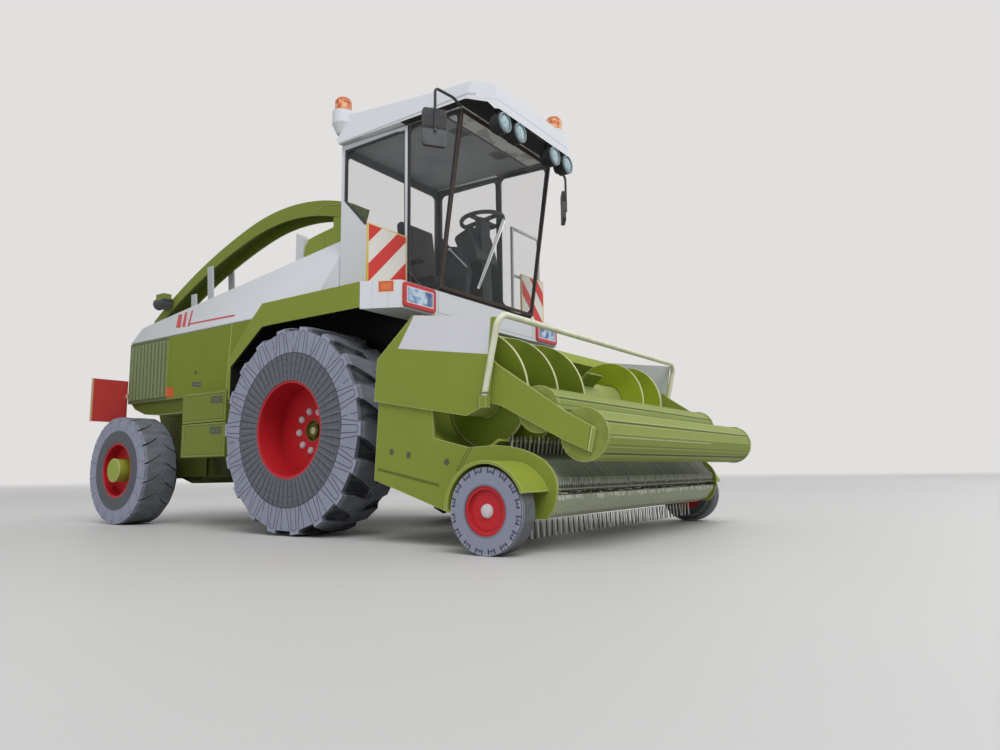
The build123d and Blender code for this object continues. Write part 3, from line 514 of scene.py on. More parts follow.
@printed("fender_card", 0x849032, "fender_left", "fender_right", edge=(GREEN_PALE, 0.6))
def fender_prints(s):
    """Green outside and on top, black inside the wheel house."""
    plain_green(s)
    outer = s.side.over(place("fender_left")[1].x - 0.15, 0.1)
    top = s.nz.over(0.1, 0.1).most(s.ny.over(0.6, 0.1))
    s.lay(~outer.most(top), 0x141414)
    s.lay(s.z.under(fender_top_z - 8.2) * ~outer * s.ny.under(-0.6), 0x141414)


@printed("nose_card", WHITE, "front_box", edge=(0xEAEAEC, 0.6), tone=0.03)
def front_box_prints(s):
    """White nose with a plain orange indicator on each chamfered corner and fold lines beside it; painted shade on
    its downward faces.
    """
    # Painted shade on the downward faces.
    s.lay(s.nz.under(-0.5) * 0.5, 0xC4C4C0)
    lay = s.on(abs(s.nx).between(0.6, 0.95, 0.05))       # the chamfered corners
    mark = s.box(-42.0, 81.2, -37.6, 84.7)
    lay(mark.under(0.0), 0xD46434)
    lay(mark.under(-0.75, 0.3) * 0.5, 0xE28456)
    lay(mark.near(0.22, 0.2) * 0.8, 0xE2BEA8)
    lay(mark.near(-0.1, 0.12) * 0.6, 0x8A3A1E)
    lay(s.y.near(-35.6, 0.16) * 0.15, 0x787A7E)
    for edge in (31.2, 52.4):
        s.lay(s.side.near(edge, 0.2) * s.ny.under(-0.5) * 0.6, 0x7E8C84)
    s.lay(s.z.near(77.0, 0.16) * s.ny.under(-0.5) * s.side.under(31.0) * 0.45, GREY)


box_low, box_high = place("tool_boxes")


@printed("box_card", 0x75812E, "tool_boxes", edge=(GREEN_PALE, 0.8))
def box_prints(s):
    """Door outlines and rubbed dark latches on the tool boxes, and painted shade on their downward faces."""
    plain_green(s)
    lay = s.on(s.side.over(box_high.x - 0.2))
    seam_z = (box_low.z + box_high.z) / 2 + 0.9
    rubbed = s.noise(0.55, 3.0)
    for low, high in ((box_low.z + 0.9, seam_z - 1.2), (seam_z + 0.9, box_high.z - 0.9)):
        door = s.box(box_low.y + 1.2, low, box_high.y - 1.8, high)
        lay(abs(door).under(0.16) * 0.75, 0x384216)
        lay(door.near(0.34, 0.14) * 0.4, GREEN_PALE)
        latch = s.outside([(50.2, high - 4.1), (58.2, high - 3.7), (58.2, high - 0.9), (50.2, high - 1.2)])
        latch += (rubbed - 0.5) * 1.6
        lay(latch.under(0.1, 0.4) * 0.8, 0x4A5048)
        lay((latch + 0.9).under(0.0, 0.4) * rubbed.over(0.5, 0.1) * 0.8, 0x707668)
    # Painted shade on the downward faces.
    s.lay(s.nz.under(-0.5) * 0.5, GREEN_DARK)


@printed("frame_card", 0x3A4412, "chassis_frame", "rear_axle", edge=(GREEN_DEEP, 0.4))
def chassis_prints(s):
    """Dark olive rails, near black towards the bottom, with seams every so often."""
    s.lay(s.z.under(42.0, 6.0) * 0.7, 0x222A08)
    s.lay((s.y + 400.0).teeth(24.0).under(0.012, 0.01) * 0.6, 0x181E08)
    s.lay(s.noise(0.12).between(0.5, 0.8, 0.3) * 0.3, GREEN_DEEP)


@printed("axle_card", 0x424A14, "front_axle", edge=(CREAM, 0.3))
def axle_prints(s):
    """Olive tube with a pale bolt printed on each end."""
    end = s.side.over(FRONT.face - 14.0)
    s.lay(end, 0x625C18)
    s.lay(end * s.away(0.0, FRONT.z).under(1.3, 0.15), 0xC4D0AA)


# ---------------------------------------------------------------- cab

REAR_WINDOW = [(4.4, cab_top_z - 23.4), (4.4, cab_top_z - 3.0), (-27.0, cab_top_z - 3.4),
               (-27.3, cab_floor_z + 23.2), (-6.6, cab_floor_z + 32.6)]
POST_Y = -28.9                            # from here forward the side is the dark door frame


@printed("cab_card", WHITE, "cab_side_left", "cab_side_right", edge=(0xC8CACE, 0.25), tone=0.03)
def cab_side_prints(s):
    """White rear side with a dark window seal, a dark door frame with its post, and a dark inside."""
    seal, wider, post = s.outside(REAR_WINDOW), s.y.over(-24.5, 1.0) * 0.4, s.y.under(POST_Y, 0.15)
    s.lay((seal - wider).under(0.4, 0.2), 0x282A2E)
    s.lay(seal.near(wider + 0.6, 0.12) * 0.35, 0x787C80)
    s.lay(post, 0x222325)
    s.lay(s.y.near(POST_Y - 1.5, 0.2) * 0.7, 0x686A6E)
    s.lay(post * s.y.over(POST_Y - 3.4) * s.z.near(cab_floor_z + 25.0, 3.0, 0.2) * 0.9, 0x121213)
    s.lay(~s.side.over(cab_half - 0.3, 0.1), 0x343537)


@printed("floor_card", 0x28292B, "cab_floor", edge=(0x545558, 0.4))
def dark_prints(s):
    """Dark printed inside with soft panel tones."""
    s.lay(s.noise(0.09).between(0.45, 0.7, 0.2) * 0.35, 0x4E4F52)


def rear_wall_prints(s):
    """White outside with two panel lines, dark inside."""
    s.lay(s.ny.under(0.5), 0x4A4B4E)
    lay = s.on(s.ny.over(0.5))
    lay(s.z.near(cab_floor_z + 20.0, 0.18) * 0.5, GREY)
    lay(s.side.near(24.5, 0.18) * s.z.under(cab_floor_z + 19.0) * 0.5, GREY)


@printed("seat_card", 0x262729, "seat", edge=(0x5C5E62, 0.4))
def seat_prints(s):
    """Dark cushions with printed seams and rubbed lighter panels."""
    s.lay(s.noise(0.10).between(0.45, 0.7, 0.2) * 0.5, 0x3C3D40)
    s.lay(s.side.near(6.4, 0.22) * 0.6, 0x101011)
    for z in (12.0, 19.0, 26.0):
        s.lay(s.z.near(cab_floor_z + z, 0.22) * 0.6, 0x101011)
    s.lay(s.side.near(6.9, 0.16) * 0.4, 0x606266)


def control_prints(s):
    """Near black controls with small pale keys on their upward faces."""
    keys = (s.x / 1.7).fract().between(0.3, 0.7, 0.1) * (s.y / 2.1).fract().between(0.3, 0.7, 0.1)
    s.lay(s.nz.over(0.5) * keys * s.noise(0.4).over(0.5, 0.05) * 0.7, 0x787C82)
    s.lay(s.noise(0.14).between(0.5, 0.75, 0.2) * 0.4, 0x3A3B3E)


def leave(corners, turn, middle):
    """Point where a ray from the middle of a convex outline leaves it."""
    way = Vector((cos(turn), sin(turn)))
    for start, end in zip(corners, corners[1:] + corners[:1]):
        start, side = Vector(start) - middle, Vector(end) - Vector(start)
        cross = way.x * side.y - way.y * side.x
        if abs(cross) < 1e-9:
            continue
        far = (start.x * side.y - start.y * side.x) / cross
        along = (start.x * way.y - start.y * way.x) / cross
        if far > 0 and -1e-6 <= along <= 1.000001:
            return middle + way * far
    return middle


CORNER_R, CORNER_STEPS = 2.2, 6           # of the rear window
wall_low, wall_high = place("cab_rear_wall")
pane_half, pane_low, pane_high = wall_high.x - 2.0, cab_floor_z + 31.0, cab_top_z - 3.6
outer_edge = [(-wall_high.x, wall_low.z), (wall_high.x, wall_low.z), (wall_high.x, wall_high.z),
              (-wall_high.x, wall_high.z)]
across, lower, upper = pane_half - CORNER_R, pane_low + CORNER_R, pane_high - CORNER_R
pane_edge = []
for x, z, first in ((across, lower, -90), (across, upper, 0), (-across, upper, 90), (-across, lower, 180)):
    for step in range(CORNER_STEPS):
        angle = radians(first + 90 / (CORNER_STEPS - 1) * step)
        pane_edge.append((x + CORNER_R * cos(angle), z + CORNER_R * sin(angle)))
middle = Vector((0.0, (pane_low + pane_high) / 2))
turns = sorted(atan2(z - middle.y, x) for x, z in pane_edge + outer_edge)
rear_wall, n = Form(), len(turns)
rear_wall.add([(spot.x, y, spot.y) for y in (wall_low.y, wall_high.y) for edge in (outer_edge, pane_edge)
               for spot in (leave(edge, turn, middle) for turn in turns)],
              [face for i, j in ((i, (i + 1) % n) for i in range(n)) for face in (
                  [i, j, n + j, n + i], [2 * n + j, 2 * n + i, 3 * n + i, 3 * n + j], [j, i, 2 * n + i, 2 * n + j],
                  [n + i, n + j, 3 * n + j, 3 * n + i])])
rear_wall_card = card("rear_wall_card", WHITE, rear_wall_prints, edge=(0x969698, 0.4), tone=0.03)
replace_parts(rear_wall.make("rear_wall_panel", rear_wall_card, "white_card"), "cab_rear_wall")


@printed("mirror_card", 0x343537, "mirrors", edge=(0x6C6E71, 0.45))
def mirror_prints(s):
    """Dark mirror backs with a clamp line, and below it glass with a painted reflection: paler upwards, with pale
    streaks.
    """
    low_z = place("mirrors")[0].z
    lay = s.on(s.z.between(low_z + 1.2, low_z + 8.2, 0.3) * abs(s.ny).over(0.5))
    # Painted reflection on the glass below the clamp.
    lay(s.z.over(low_z + 4.5, 7.0) * 0.5, 0x6E7175)
    lay(s.noise(0.2).over(0.5, 0.3) * 0.35, 0x707377)
    s.lay(s.z.near(low_z + 8.8, 0.5, 0.2) * abs(s.ny).over(0.5) * 0.8, 0x141415)
    s.lay(s.noise(0.2).between(0.5, 0.75, 0.2) * 0.3, 0x545659)


@printed("roof_card", WHITE, "roof", edge=(0xE8E8E6, 0.6), tone=0.03)
def roof_prints(s):
    """White roof with a black visor under its front, painted shade under the front half of its side overhang, and a
    grey headliner with a paler front panel.
    """
    screen_y = place("windshield_frame")[0].y
    below = s.nz.under(-0.35, 0.1)
    # Black under the roof: the visor at its front, and painted shade under the front half of the side overhang.
    s.lay(below * s.side.under(26.5, 0.3).most(s.y.under(-27.0, 0.3)), 0x1E1E1F)
    liner = below * s.y.over(screen_y + 1.0) * s.side.under(cab_half - 1.0)
    lay, streaks, panel = s.on(liner), s.noise(0.05), s.y.under(screen_y + 11.0, 0.4)
    s.lay(liner, 0x949599)
    lay(streaks.between(0.42, 0.58, 0.12) * 0.25, 0xACADB1)
    lay(streaks.over(0.58, 0.2) * 0.3, 0x68696C)
    lay(panel, 0xE2E3E4)
    lay(panel * s.noise(0.14, 3.0).over(0.56, 0.08) * 0.5, 0x787A7C)
    lay(s.y.near(screen_y + 11.4, 0.5, 0.2) * 0.8, 0x323335)
    for x in (-17.0, 9.0):
        lay(s.box(x, screen_y + 12.4, x + 8.0, screen_y + 18.0, s.x, s.y).under(0.0, 0.3) * 0.7, 0x343537)
    s.lay(s.z.near(place("roof_lamps")[1].z + 1.2, 0.25) * s.ny.under(-0.7, 0.1) * 0.35, GREY)
    # Painted shadow line under the roof's side edge, above the cab side.
    s.lay(s.z.near(cab_top_z + 0.5, 0.5) * s.side.over(cab_half) * 0.4, GREY)
    hatch, top = s.box(-14.0, -40.0, 14.0, -14.0, s.x, s.y), s.nz.over(0.6)
    s.lay(top * abs(hatch).under(0.2, 0.15) * 0.55, GREY)
    s.lay(top * hatch.near(-1.2, 0.12, 0.12) * 0.3, GREY)


@printed("drive_card", 0x464A4E, "flap_drive", edge=(0x8C9096, 0.4))
def drive_prints(s):
    """Dark drum of the flap drive, with a green bracket on top."""
    low, high = place("flap_drive")
    bracket = s.z.over(high.z - 3.2, 0.3)
    s.lay(bracket, 0x707E2E)
    s.lay(abs(s.ny).over(0.6) * s.z.near((low.z + high.z) / 2 - 1.4, 0.25) * 0.5, 0x787C80)
    s.lay(~bracket * s.y.under(low.y + 1.4, 0.3) * 0.5, 0x22261E)


film = Sheet("clear_film", 0x8C9296)
film.lay(film.noise(0.03).between(0.4, 0.7, 0.3) * 0.5, 0x70767C)
CAD_PANE, WIDE_PANE = (24.65, 117.0, 30.0), (28.4, 116.4, 34.4)     # the rear pane's half width, middle and height
films, numbers, points, faces = Form(), {}, [], []
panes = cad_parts["glazing"].data
for polygon in panes.polygons:
    corners = []
    for number in polygon.vertices:
        x, y, z = panes.vertices[number].co / MM
        y -= AXLE_Y
        if y > wall_low.y - 0.5 and abs(x) < CAD_PANE[0] + 0.35:
            x = x * WIDE_PANE[0] / CAD_PANE[0]
            z = WIDE_PANE[1] + (z - CAD_PANE[1]) * WIDE_PANE[2] / CAD_PANE[2]
        key = (round(x, 3), round(y, 3), round(z, 3))
        if key not in numbers:
            numbers[key] = len(points)
            points.append(key)
        corners.append(numbers[key])
    if len(set(corners)) > 2:
        faces.append(corners)
films.add(points, faces)
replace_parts(films.make("window_films", film.done(Alpha=0.07, Roughness=0.05), "clear_film"), "glazing")


def wiper_prints(s):
    """Dark strip along the middle of the bright bar."""
    bar = s.outside([(-10.3, 4.0), (-8.5, 4.0), (2.6, 34.0), (0.8, 34.0)], s.x, s.z - cab_floor_z)
    s.lay((bar + 0.55).under(0.0, 0.2) * 0.75, 0x3A3C3E)


paint(wire_metal("wiper_metal", 0xD6D9DC, prints=wiper_prints), "wiper")


@printed("beacon_card", 0xD67846, "beacons", edge=(0xF0BE8C, 0.3), rough=0.3)
def beacon_prints(s):
    """Orange drum with brown bands and pale blotches painted as highlights."""
    for low, high in islands("beacons"):
        lay = s.on(s.x.near((low.x + high.x) / 2, 8.0))
        for share in (0.24, 0.52, 0.80):
            lay(s.z.near(low.z + share * (high.z - low.z), 0.35, 0.5) * 0.55, 0x8C3C22)
        # Painted highlights: pale blotches round the middle of each drum.
        lay(s.z.between(low.z + 1.0, high.z - 2.0, 1.0) * s.noise(0.45).over(0.5, 0.1) * 0.75, 0xF0BE92)
    s.lay(s.noise(0.6, 3.0).between(0.56, 0.75, 0.1) * 0.4, 0x9C4628)


@printed("board_card", 0xDEDBD2, "warning_boards", edge=(CREAM, 0.2), tone=0.04)
def board_prints(s):
    """Red and white diagonal stripes inside a thin yellow border, with a painted highlight on its upper half; the
    back is white.
    """
    (low_a, high_a), (low_b, high_b) = islands("warning_boards")
    for low, high, start in ((low_a, high_a, 2.7), (low_b, high_b, 7.8)):
        lay = s.on(s.x.between(low.x - 1, high.x + 1))
        way = s.z - low.z + s.side - abs(low.x if low.x < 0 else high.x) + start
        lay((way / 14.4).fract().between(0.27, 0.73, 0.02) * s.ny.under(-0.5), 0xCE3E38)
        rim = s.box(low.x, low.z, high.x, high.z, s.x, s.z).over(-0.42, 0.15)
        lay(rim, 0xD6B03E)
        # Painted highlight: the border is paler on its upper half.
        lay(rim * s.z.over((low.z + high.z) / 2, 8.0) * 0.5, 0xE2D8A0)
        lay(s.z.near(low.z + 10.0, 0.12) * s.ny.over(0.5) * 0.5, GREY)


@printed("rear_board_card", 0xBA3836, "rear_boards", edge=(CREAM, 0.4), tone=0.05)
def rear_board_prints(s):
    """Plain red boards with a pale edge, on white brackets."""
    high = place("rear_boards")[1]
    s.lay(s.y.under(high.y - 0.9, 0.1), 0xD6D6D2)
    s.lay(abs(s.ny).under(0.5), 0xCEBE96)
    s.lay(s.side.near(high.x - 0.4, 0.25) * abs(s.ny).over(0.5) * 0.6, 0xD8C896)


@printed("headlight_card", 0xC42C32, "headlights", edge=(CREAM, 0.2), rough=0.45, tone=0.05)
def headlight_prints(s):
    """Red frame round a printed pale blue lens with soft streaks."""
    for low, high in islands("headlights"):
        here, inset, patch = s.x.between(low.x - 0.5, high.x + 0.5) * s.ny.under(-0.5), 1.55, s.noise(0.28, 3.0)
        lens = s.box(low.x + inset, low.z + inset, high.x - inset, high.z - inset, s.x, s.z)
        shore = (s.side - min(abs(low.x), abs(high.x))) / (high.x - low.x) + (patch - 0.5) * 0.8
        glass = here * lens.under(0.0, 0.25)
        lay = s.on(glass)
        s.lay(glass, 0x7EA0C4)
        lay(patch.over(0.5, 0.16), 0xC4D6E8)
        lay(patch.under(0.42, 0.1) * 0.85, 0x3E5A90)
        lay(shore.under(0.30, 0.18) * 0.7, 0x364C84)
        lay(shore.over(0.86, 0.14) * 0.6, 0x6E88B0)
        s.lay(here * abs(lens).under(0.2, 0.16) * 0.7, 0xE8E8EC)
        s.lay(here * lens.near(inset - 0.15, 0.15) * 0.5, 0x78181E)


# ---------------------------------------------------------------- spout

SPOUT_FOLD = [(27.4, 141.5), (45.4, 144.6), (62.9, 140.6), (77.4, 134.6), (90.9, 126.0)]


def spout_prints(s):
    """Green channel with a dark inside, an underside darkened as painted shade, a fold line and seams along its
    sides.
    """
    plain_green(s)
    lay = s.on(abs(s.nx).over(0.6))
    for (y0, z0), (y1, z1) in zip(SPOUT_FOLD, SPOUT_FOLD[1:]):
        off, span = s.z - z0 - (s.y - y0) * ((z1 - z0) / (y1 - y0)), s.y.between(y0, y1, 0.3)
        lay(span * abs(off).under(0.2, 0.2) * 0.7, 0x4A541A)
        lay(span * off.near(0.4, 0.16, 0.2) * 0.45, GREEN_PALE)
    for y in (46.0, 63.5, 91.0, 110.0):
        lay((s.y - (s.z - 130.0) * 0.3).near(y, 0.14, 0.14) * 0.45, GREEN_DEEP)
    s.lay(s.side.under(place("spout")[1].x - 0.3, 0.1) * s.nz.under(0.15, 0.1), 0x62701E)
    # Painted shade on the downward faces.
    s.lay(s.nz.under(-0.55, 0.1), 0x546018)


@printed("turret_card", GREEN, "spout_turret", edge=(GREEN_PALE, 0.5))
def turret_prints(s):
    """Green turret with a dark seam round it and a panel line."""
    plain_green(s)
    low, high = place("spout_turret")
    s.lay(abs(s.nz).under(0.4) * s.z.near(low.z + 6.0, 0.2) * 0.6, 0x424C1A)
    s.lay(abs(s.nx).over(0.6) * s.y.near((low.y + high.y) / 2, 0.18) * 0.5, 0x424C1A)


spout_card = card("spout_card", 0x79862E, spout_prints, edge=(GREEN_PALE, 0.45))
paint(spout_card, "spout")

LID_FROM_Y, LID_DEPTHS, WALL = 92.0, (0.1, 0.8), 0.75      # where it begins, its two faces, the side walls
wall_half = place("spout")[1].x
edges = {(round(v.co.y / MM - AXLE_Y, 2), round(v.co.z / MM, 2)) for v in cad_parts["spout"].data.vertices
         if v.co.x / MM > wall_half - 0.05}
rim = sorted((y, z) for y, z in edges
             if y > LID_FROM_Y and not any(abs(far - y) < 4.0 and high > z + 4.0 for far, high in edges))
lid, points = Form(), []
for k, (y, z) in enumerate(rim):
    (y0, z0), (y1, z1) = rim[max(k - 1, 0)], rim[min(k + 1, len(rim) - 1)]
    long = hypot(y1 - y0, z1 - z0)
    points += [(x, y + (z1 - z0) / long * deep, z - (y1 - y0) / long * deep)
               for x in (-wall_half + WALL, wall_half - WALL) for deep in LID_DEPTHS]
last = len(points) - 4
faces = [[0, 2, 3, 1], [last, last + 1, last + 3, last + 2]]
for k in range(0, last, 4):
    faces += [[k + i for i in way] for way in ((0, 4, 6, 2), (1, 3, 7, 5), (0, 1, 5, 4), (2, 6, 7, 3))]
lid.add(points, faces)
lid.make("spout_lid", spout_card, "green_card")


# ---------------------------------------------------------------- header

auger_low, auger_high = place("auger")
auger_y, auger_z = (auger_low.y + auger_high.y) / 2, (auger_low.z + auger_high.z) / 2
auger_r = (auger_high.z - auger_low.z) / 2


@printed("auger_card", 0x70801C, "auger", edge=(0xC4CA96, 0.6))
def auger_prints(s):
    """Deep olive flights with a pale cut edge; those at the far end are yellower, and the tube is paler."""
    plain_green(s)
    radius = s.away(auger_y, auger_z)
    s.lay(s.x.over(10.0, 2.0) * radius.over(8.4), 0x8C9C18)
    s.lay(radius.under(8.2, 0.2), 0x96A258)
    s.lay(radius.over(auger_r - 0.2, 0.12) * 0.95, 0xCED2A4)
    s.lay(radius.near(8.5, 0.2, 0.2) * 0.5, 0x465018)


@printed("trough_card", GREEN, "header_trough", edge=(GREEN_PALE, 0.6))
def trough_prints(s):
    """Green trough, painted lighter inside at the top as light, with a dark fold line under its top beam."""
    plain_green(s)
    high = place("header_trough")[1]
    inner = s.y.under(high.y - 0.1, 0.1) * s.ny.under(-0.2, 0.1) * s.nz.under(0.75, 0.1)
    # Painted light: the inside is lighter at the top.
    s.lay(inner * s.z.over(44.0, 8.0), 0xA8B64E)
    s.lay(s.z.near(high.z - 3.4, 0.16) * abs(s.ny).over(0.5) * 0.5, 0x46501A)
    s.lay(s.ny.over(0.6) * (s.x + 300.0).teeth(24.0).under(0.012, 0.008) * 0.6, 0x46501A)


rollers = sorted(((low.y + high.y) / 2, (low.z + high.z) / 2, (high.z - low.z) / 2)
                 for low, high in islands("press_rollers"))
FRONT_FOLDS = ((112, "dash"), (152, "dark"), (187, "dash"), (205, "thin"), (229, "dark"), (60, "thin"),
               (20, "dark"), (-30, "dash"), (-70, "dark"))
# On the back roller the dark line at 151 degrees, next to the front roller, is painted shadow.
BACK_FOLDS = ((92, "dash"), (121, "thin"), (151, "dark"), (170, "thin"), (200, "dark"), (20, "dark"), (-60, "thin"))


@printed("roller_card", 0x808D3C, "press_rollers", edge=(GREEN_EDGE, 0.8))
def roller_prints(s):
    """Fold lines along the rollers: dark creases with a painted highlight beside them, thin ones, and pale dashes
    of rubbed-off ink and painted highlight together.
    """
    plain_green(s)
    patchy = s.noise(0.10, 3.0, (0.25, 1.0, 1.0))
    for (y, z, r), lines in zip(rollers, (FRONT_FOLDS, BACK_FOLDS)):
        angle, lay = s.turn(y, z), s.on(s.away(y, z).under(r + 0.6) * abs(s.nx).under(0.5))
        for degree, kind in lines:
            turned = (angle - degree + 540.0).math("MODULO", 360.0) - 180.0
            arc = abs(turned) * (r * pi / 180.0)
            if kind == "dark":
                lay(arc.under(0.34, 0.25) * (patchy * 0.4 + 0.7), 0x303A0C)
                # Painted highlight beside the dark crease.
                lay(arc.near(0.55, 0.16, 0.2) * patchy * 0.7, 0xB0BC78)
            elif kind == "thin":
                lay(arc.under(0.17, 0.16) * 0.7, 0x4A561A)
            else:
                # Pale dashes: rubbed-off ink and painted highlight together.
                lay(arc.under(0.13, 0.2) * patchy.over(0.53, 0.05) * 0.7, 0xCED4B0)
    s.lay(abs(s.nx).over(0.6) * s.noise(0.2).between(0.5, 0.75, 0.2) * 0.2, GREEN_PALE)


@printed("arm_card", 0x889538, "press_arms", edge=(GREEN_EDGE, 0.95))
def arm_prints(s):
    """Green arm with a folded tab at its front end, drawn by its pale cut edge, a painted shadow line beside it and
    painted light on its face.
    """
    plain_green(s)
    y, z = s.y - rollers[0][0], s.z - rollers[0][1]
    tab = s.outside([(-3.9, 1.4), (-2.4, -4.6), (5.6, -1.2), (4.6, 6.0)], y, z)
    front = s.outside([(-6.9, 1.6), (-5.6, -5.2), (-1.5, -4.6), (-2.9, 1.8)], y, z)
    lay = s.on(abs(s.nx).over(0.6))
    lay(abs(front).under(0.16, 0.14) * tab.under(0.4) * 0.8, 0xCED4A0)
    # Painted shadow just outside the tab's edge.
    lay(front.near(0.36, 0.14, 0.14) * tab.under(0.2) * 0.6, 0x4A561A)
    # Painted light: the tab's face is lighter.
    lay(front.under(-0.1) * 0.5, 0x98A654)


LABEL = [(-88.9, 53.6), (-54.9, 58.8), (-61.7, 68.7), (-90.0, 64.5)]
BOLTS = ((-51.8, 27.4), (-58.7, 26.3), (-73.3, 24.0))
PLATE_IN = 62.2                           # the plates' inner face above; below it is where the card is doubled


@printed("plate_card", GREEN, "header_side_left", "header_side_right", edge=(0xD4D8A8, 0.95))
def side_plate_prints(s):
    """Bare white label field, bolts, a fold line and a seam strip; the inner faces are pale grey above."""
    plain_green(s)
    s.lay(s.outside(LABEL).under(0.0, 0.15) * s.side.over(PLATE_IN + 0.7, 0.06), 0xDADAE0)
    inner = s.side.between(PLATE_IN - 0.15, PLATE_IN + 0.2, 0.05) * abs(s.nx).over(0.5)
    s.lay(inner * s.z.over(auger_z + 2.0), 0xC4C6CA)
    lay = s.on(s.z.under(31.4) * s.side.over(PLATE_IN - 0.1, 0.05))
    for y, z in BOLTS:
        radius = s.away(y, z)
        lay(radius.under(0.95, 0.4) * 0.95, 0x424A38)
        lay(radius.near(0.45, 0.14) * 0.5, 0x787C7E)
    lay(s.outside([(-70.5, 17.0), (-46.0, 21.9), (-46.0, 22.7), (-70.5, 17.8)]).under(0.0, 0.5) * 0.75, 0x46501C)
    seam = s.outside([(-76.9, 21.6), (-81.4, 28.0), (-82.4, 28.0), (-77.9, 21.6)])
    lay(abs(seam).under(0.14) * 0.8, 0x404A1A)


@printed("rail_card", 0xD8D8BE, "header_rail", edge=None, rough=0.45, tone=0.04)
def rail_prints(s):
    """Cream wire, rubbed a little, with a dark olive clip at each foot and a painted highlight strip across each
    clip.
    """
    foot = place("header_rail")[0].z
    s.lay(s.noise(0.3).between(0.52, 0.7, 0.1) * 0.25, 0xB0B096)
    s.lay(s.z.under(foot + 1.5, 0.2) * 0.9, 0x5C6242)
    # Painted highlight: a light strip across the clip.
    s.lay(s.z.near(foot + 0.7, 0.25) * 0.8, 0xCED2BA)


drum_low, drum_high = place("pickup_drum")


@printed("drum_card", 0x9EA48A, "pickup_drum", edge=(0xBABEAC, 0.5), tone=0.09)
def drum_prints(s):
    """Grey-green perforated upper guard with pale dashes at its lower edge, and a paler speckled lower guard."""
    split = drum_low.z + 8.6
    upper, ragged = s.z.over(split, 0.3), s.noise(0.5, 3.0, (1.0, 0.2, 0.2)) * 5.0
    s.lay(upper, 0x7A806C)
    lay = s.on(upper)
    lay(s.noise(1.1, 2.0, (1.0, 0.03, 0.03)).over(0.5, 0.1) * 0.55, 0x484D44)
    lay(s.z.over(drum_high.z - 6.0, 5.0) * 0.25, 0x545850)
    dashes = (s.x / 1.3).fract().under(0.45, 0.2) * (s.z + ragged).between(split + 2.6, split + 4.4, 1.0)
    lay(dashes * 0.5, 0xC8CCC2)
    lay((s.z + ragged * 0.3).under(split + 1.6, 0.5) * 0.75, 0x1E2018)
    lay = s.on(~upper)
    lay(s.noise(2.2).over(0.56, 0.06) * 0.28, 0xD6DACC)
    lay(s.noise(0.9, 3.0).under(0.42, 0.06) * 0.2, 0x707A54)
    lip = (s.z + ragged * 0.5).between(split - 1.6, split + 0.6, 0.5)
    lay(lip * s.noise(0.9, 2.0, (1.0, 0.2, 0.2)).over(0.5, 0.08) * 0.8, 0xD8DCD0)


# ---------------------------------------------------------------- cards with a shared print or none

for name, colour, prints, edge, tone, nodes in (
        ("feeder_card", 0x546022, plain_green, (GREEN_DEEP, 0.4), 0.07, ["feeder_housing"]),
        ("green_card", GREEN, plain_green, (GREEN_PALE, 0.7), 0.07, ["spout_flap"]),
        ("arch_card", 0x8C9934, plain_green, (0xD4D8A0, 0.95), 0.07,
         ["gauge_fender_left", "gauge_fender_right"]),
        ("control_card", 0x1E1F21, control_prints, (0x606266, 0.35), 0.07, ["console", "steering_wheel"]),
        ("screen_frame_card", 0x3E302B, None, (0x705E52, 0.5), 0.07, ["windshield_frame"]),
        ("rail_paint", 0xCED0D2, None, None, 0.03, ["handrail", "stack"]),
        ("strap_card", 0xB2B4B8, None, (WHITE, 0.5), 0.07, ["spout_rest"]),
        ("lamp_shell_card", 0x26282A, None, (0x6E7072, 0.4), 0.07, ["roof_lamps"])):
    paint(card(name, colour, prints, edge=edge, tone=tone), *nodes)


# ---------------------------------------------------------------- wheels

VALLEY_DEPTH = 0.35        # how far under the lugs' tops a tread's valleys begin
TAPER = 0.84               # share of the width where a tread starts to narrow towards the machine
LUG_STEPS, LUG_REACH, FLATNESS = 6, 0.56, 0.6


def rim_prints(wheel, bowl_r, hub_r, hub_colour):
    """Red bowl with painted shade inside, deeper red on its inner wall and in a ring near its edge, with its hub in
    another colour.
    """
    def prints(s):
        radius = s.away(wheel.y, wheel.z)
        # Painted shade inside the bowl: on its inner wall and in a ring near its edge.
        s.lay(radius.under(bowl_r + 0.2) * abs(s.nx).under(0.5) * 0.5, RED_PAINTED_SHADE)
        s.lay(radius.near(bowl_r - 0.5, 0.25) * 0.35, RED_PAINTED_SHADE)
        s.lay(radius.under(hub_r + 0.1, 0.1), hub_colour)
    return prints


def tyre_prints(wheel, sidewall, tread, valley):
    """A printed side, and a tread whose valleys are painted darker than its lugs as shade."""
    def prints(s):
        radius = s.away(wheel.y, wheel.z)
        face = abs(s.nx).over(0.72, 0.2) * s.side.over(wheel.face - 1.6, 0.2)
        shoulder, lay = s.side.over(wheel.face - 1.5, 0.5), s.on(~face)
        lay(shoulder * -0.7 + 1.0, tread)
        # Painted shade: the valleys between the lugs are darker.
        lay(radius.under(wheel.r - VALLEY_DEPTH, 0.2) * (shoulder * -0.45 + 1.0), valley)
        lay(s.noise(0.35, 3.0, (0.3, 1.0, 1.0)).over(0.55, 0.1) * 0.2, 0x8C9096)
        s.lay(s.side.under(wheel.face - wheel.width + 0.4, 0.2), 0x565860)
        sidewall(s, face, radius, s.turn(wheel.y, wheel.z))
    return prints


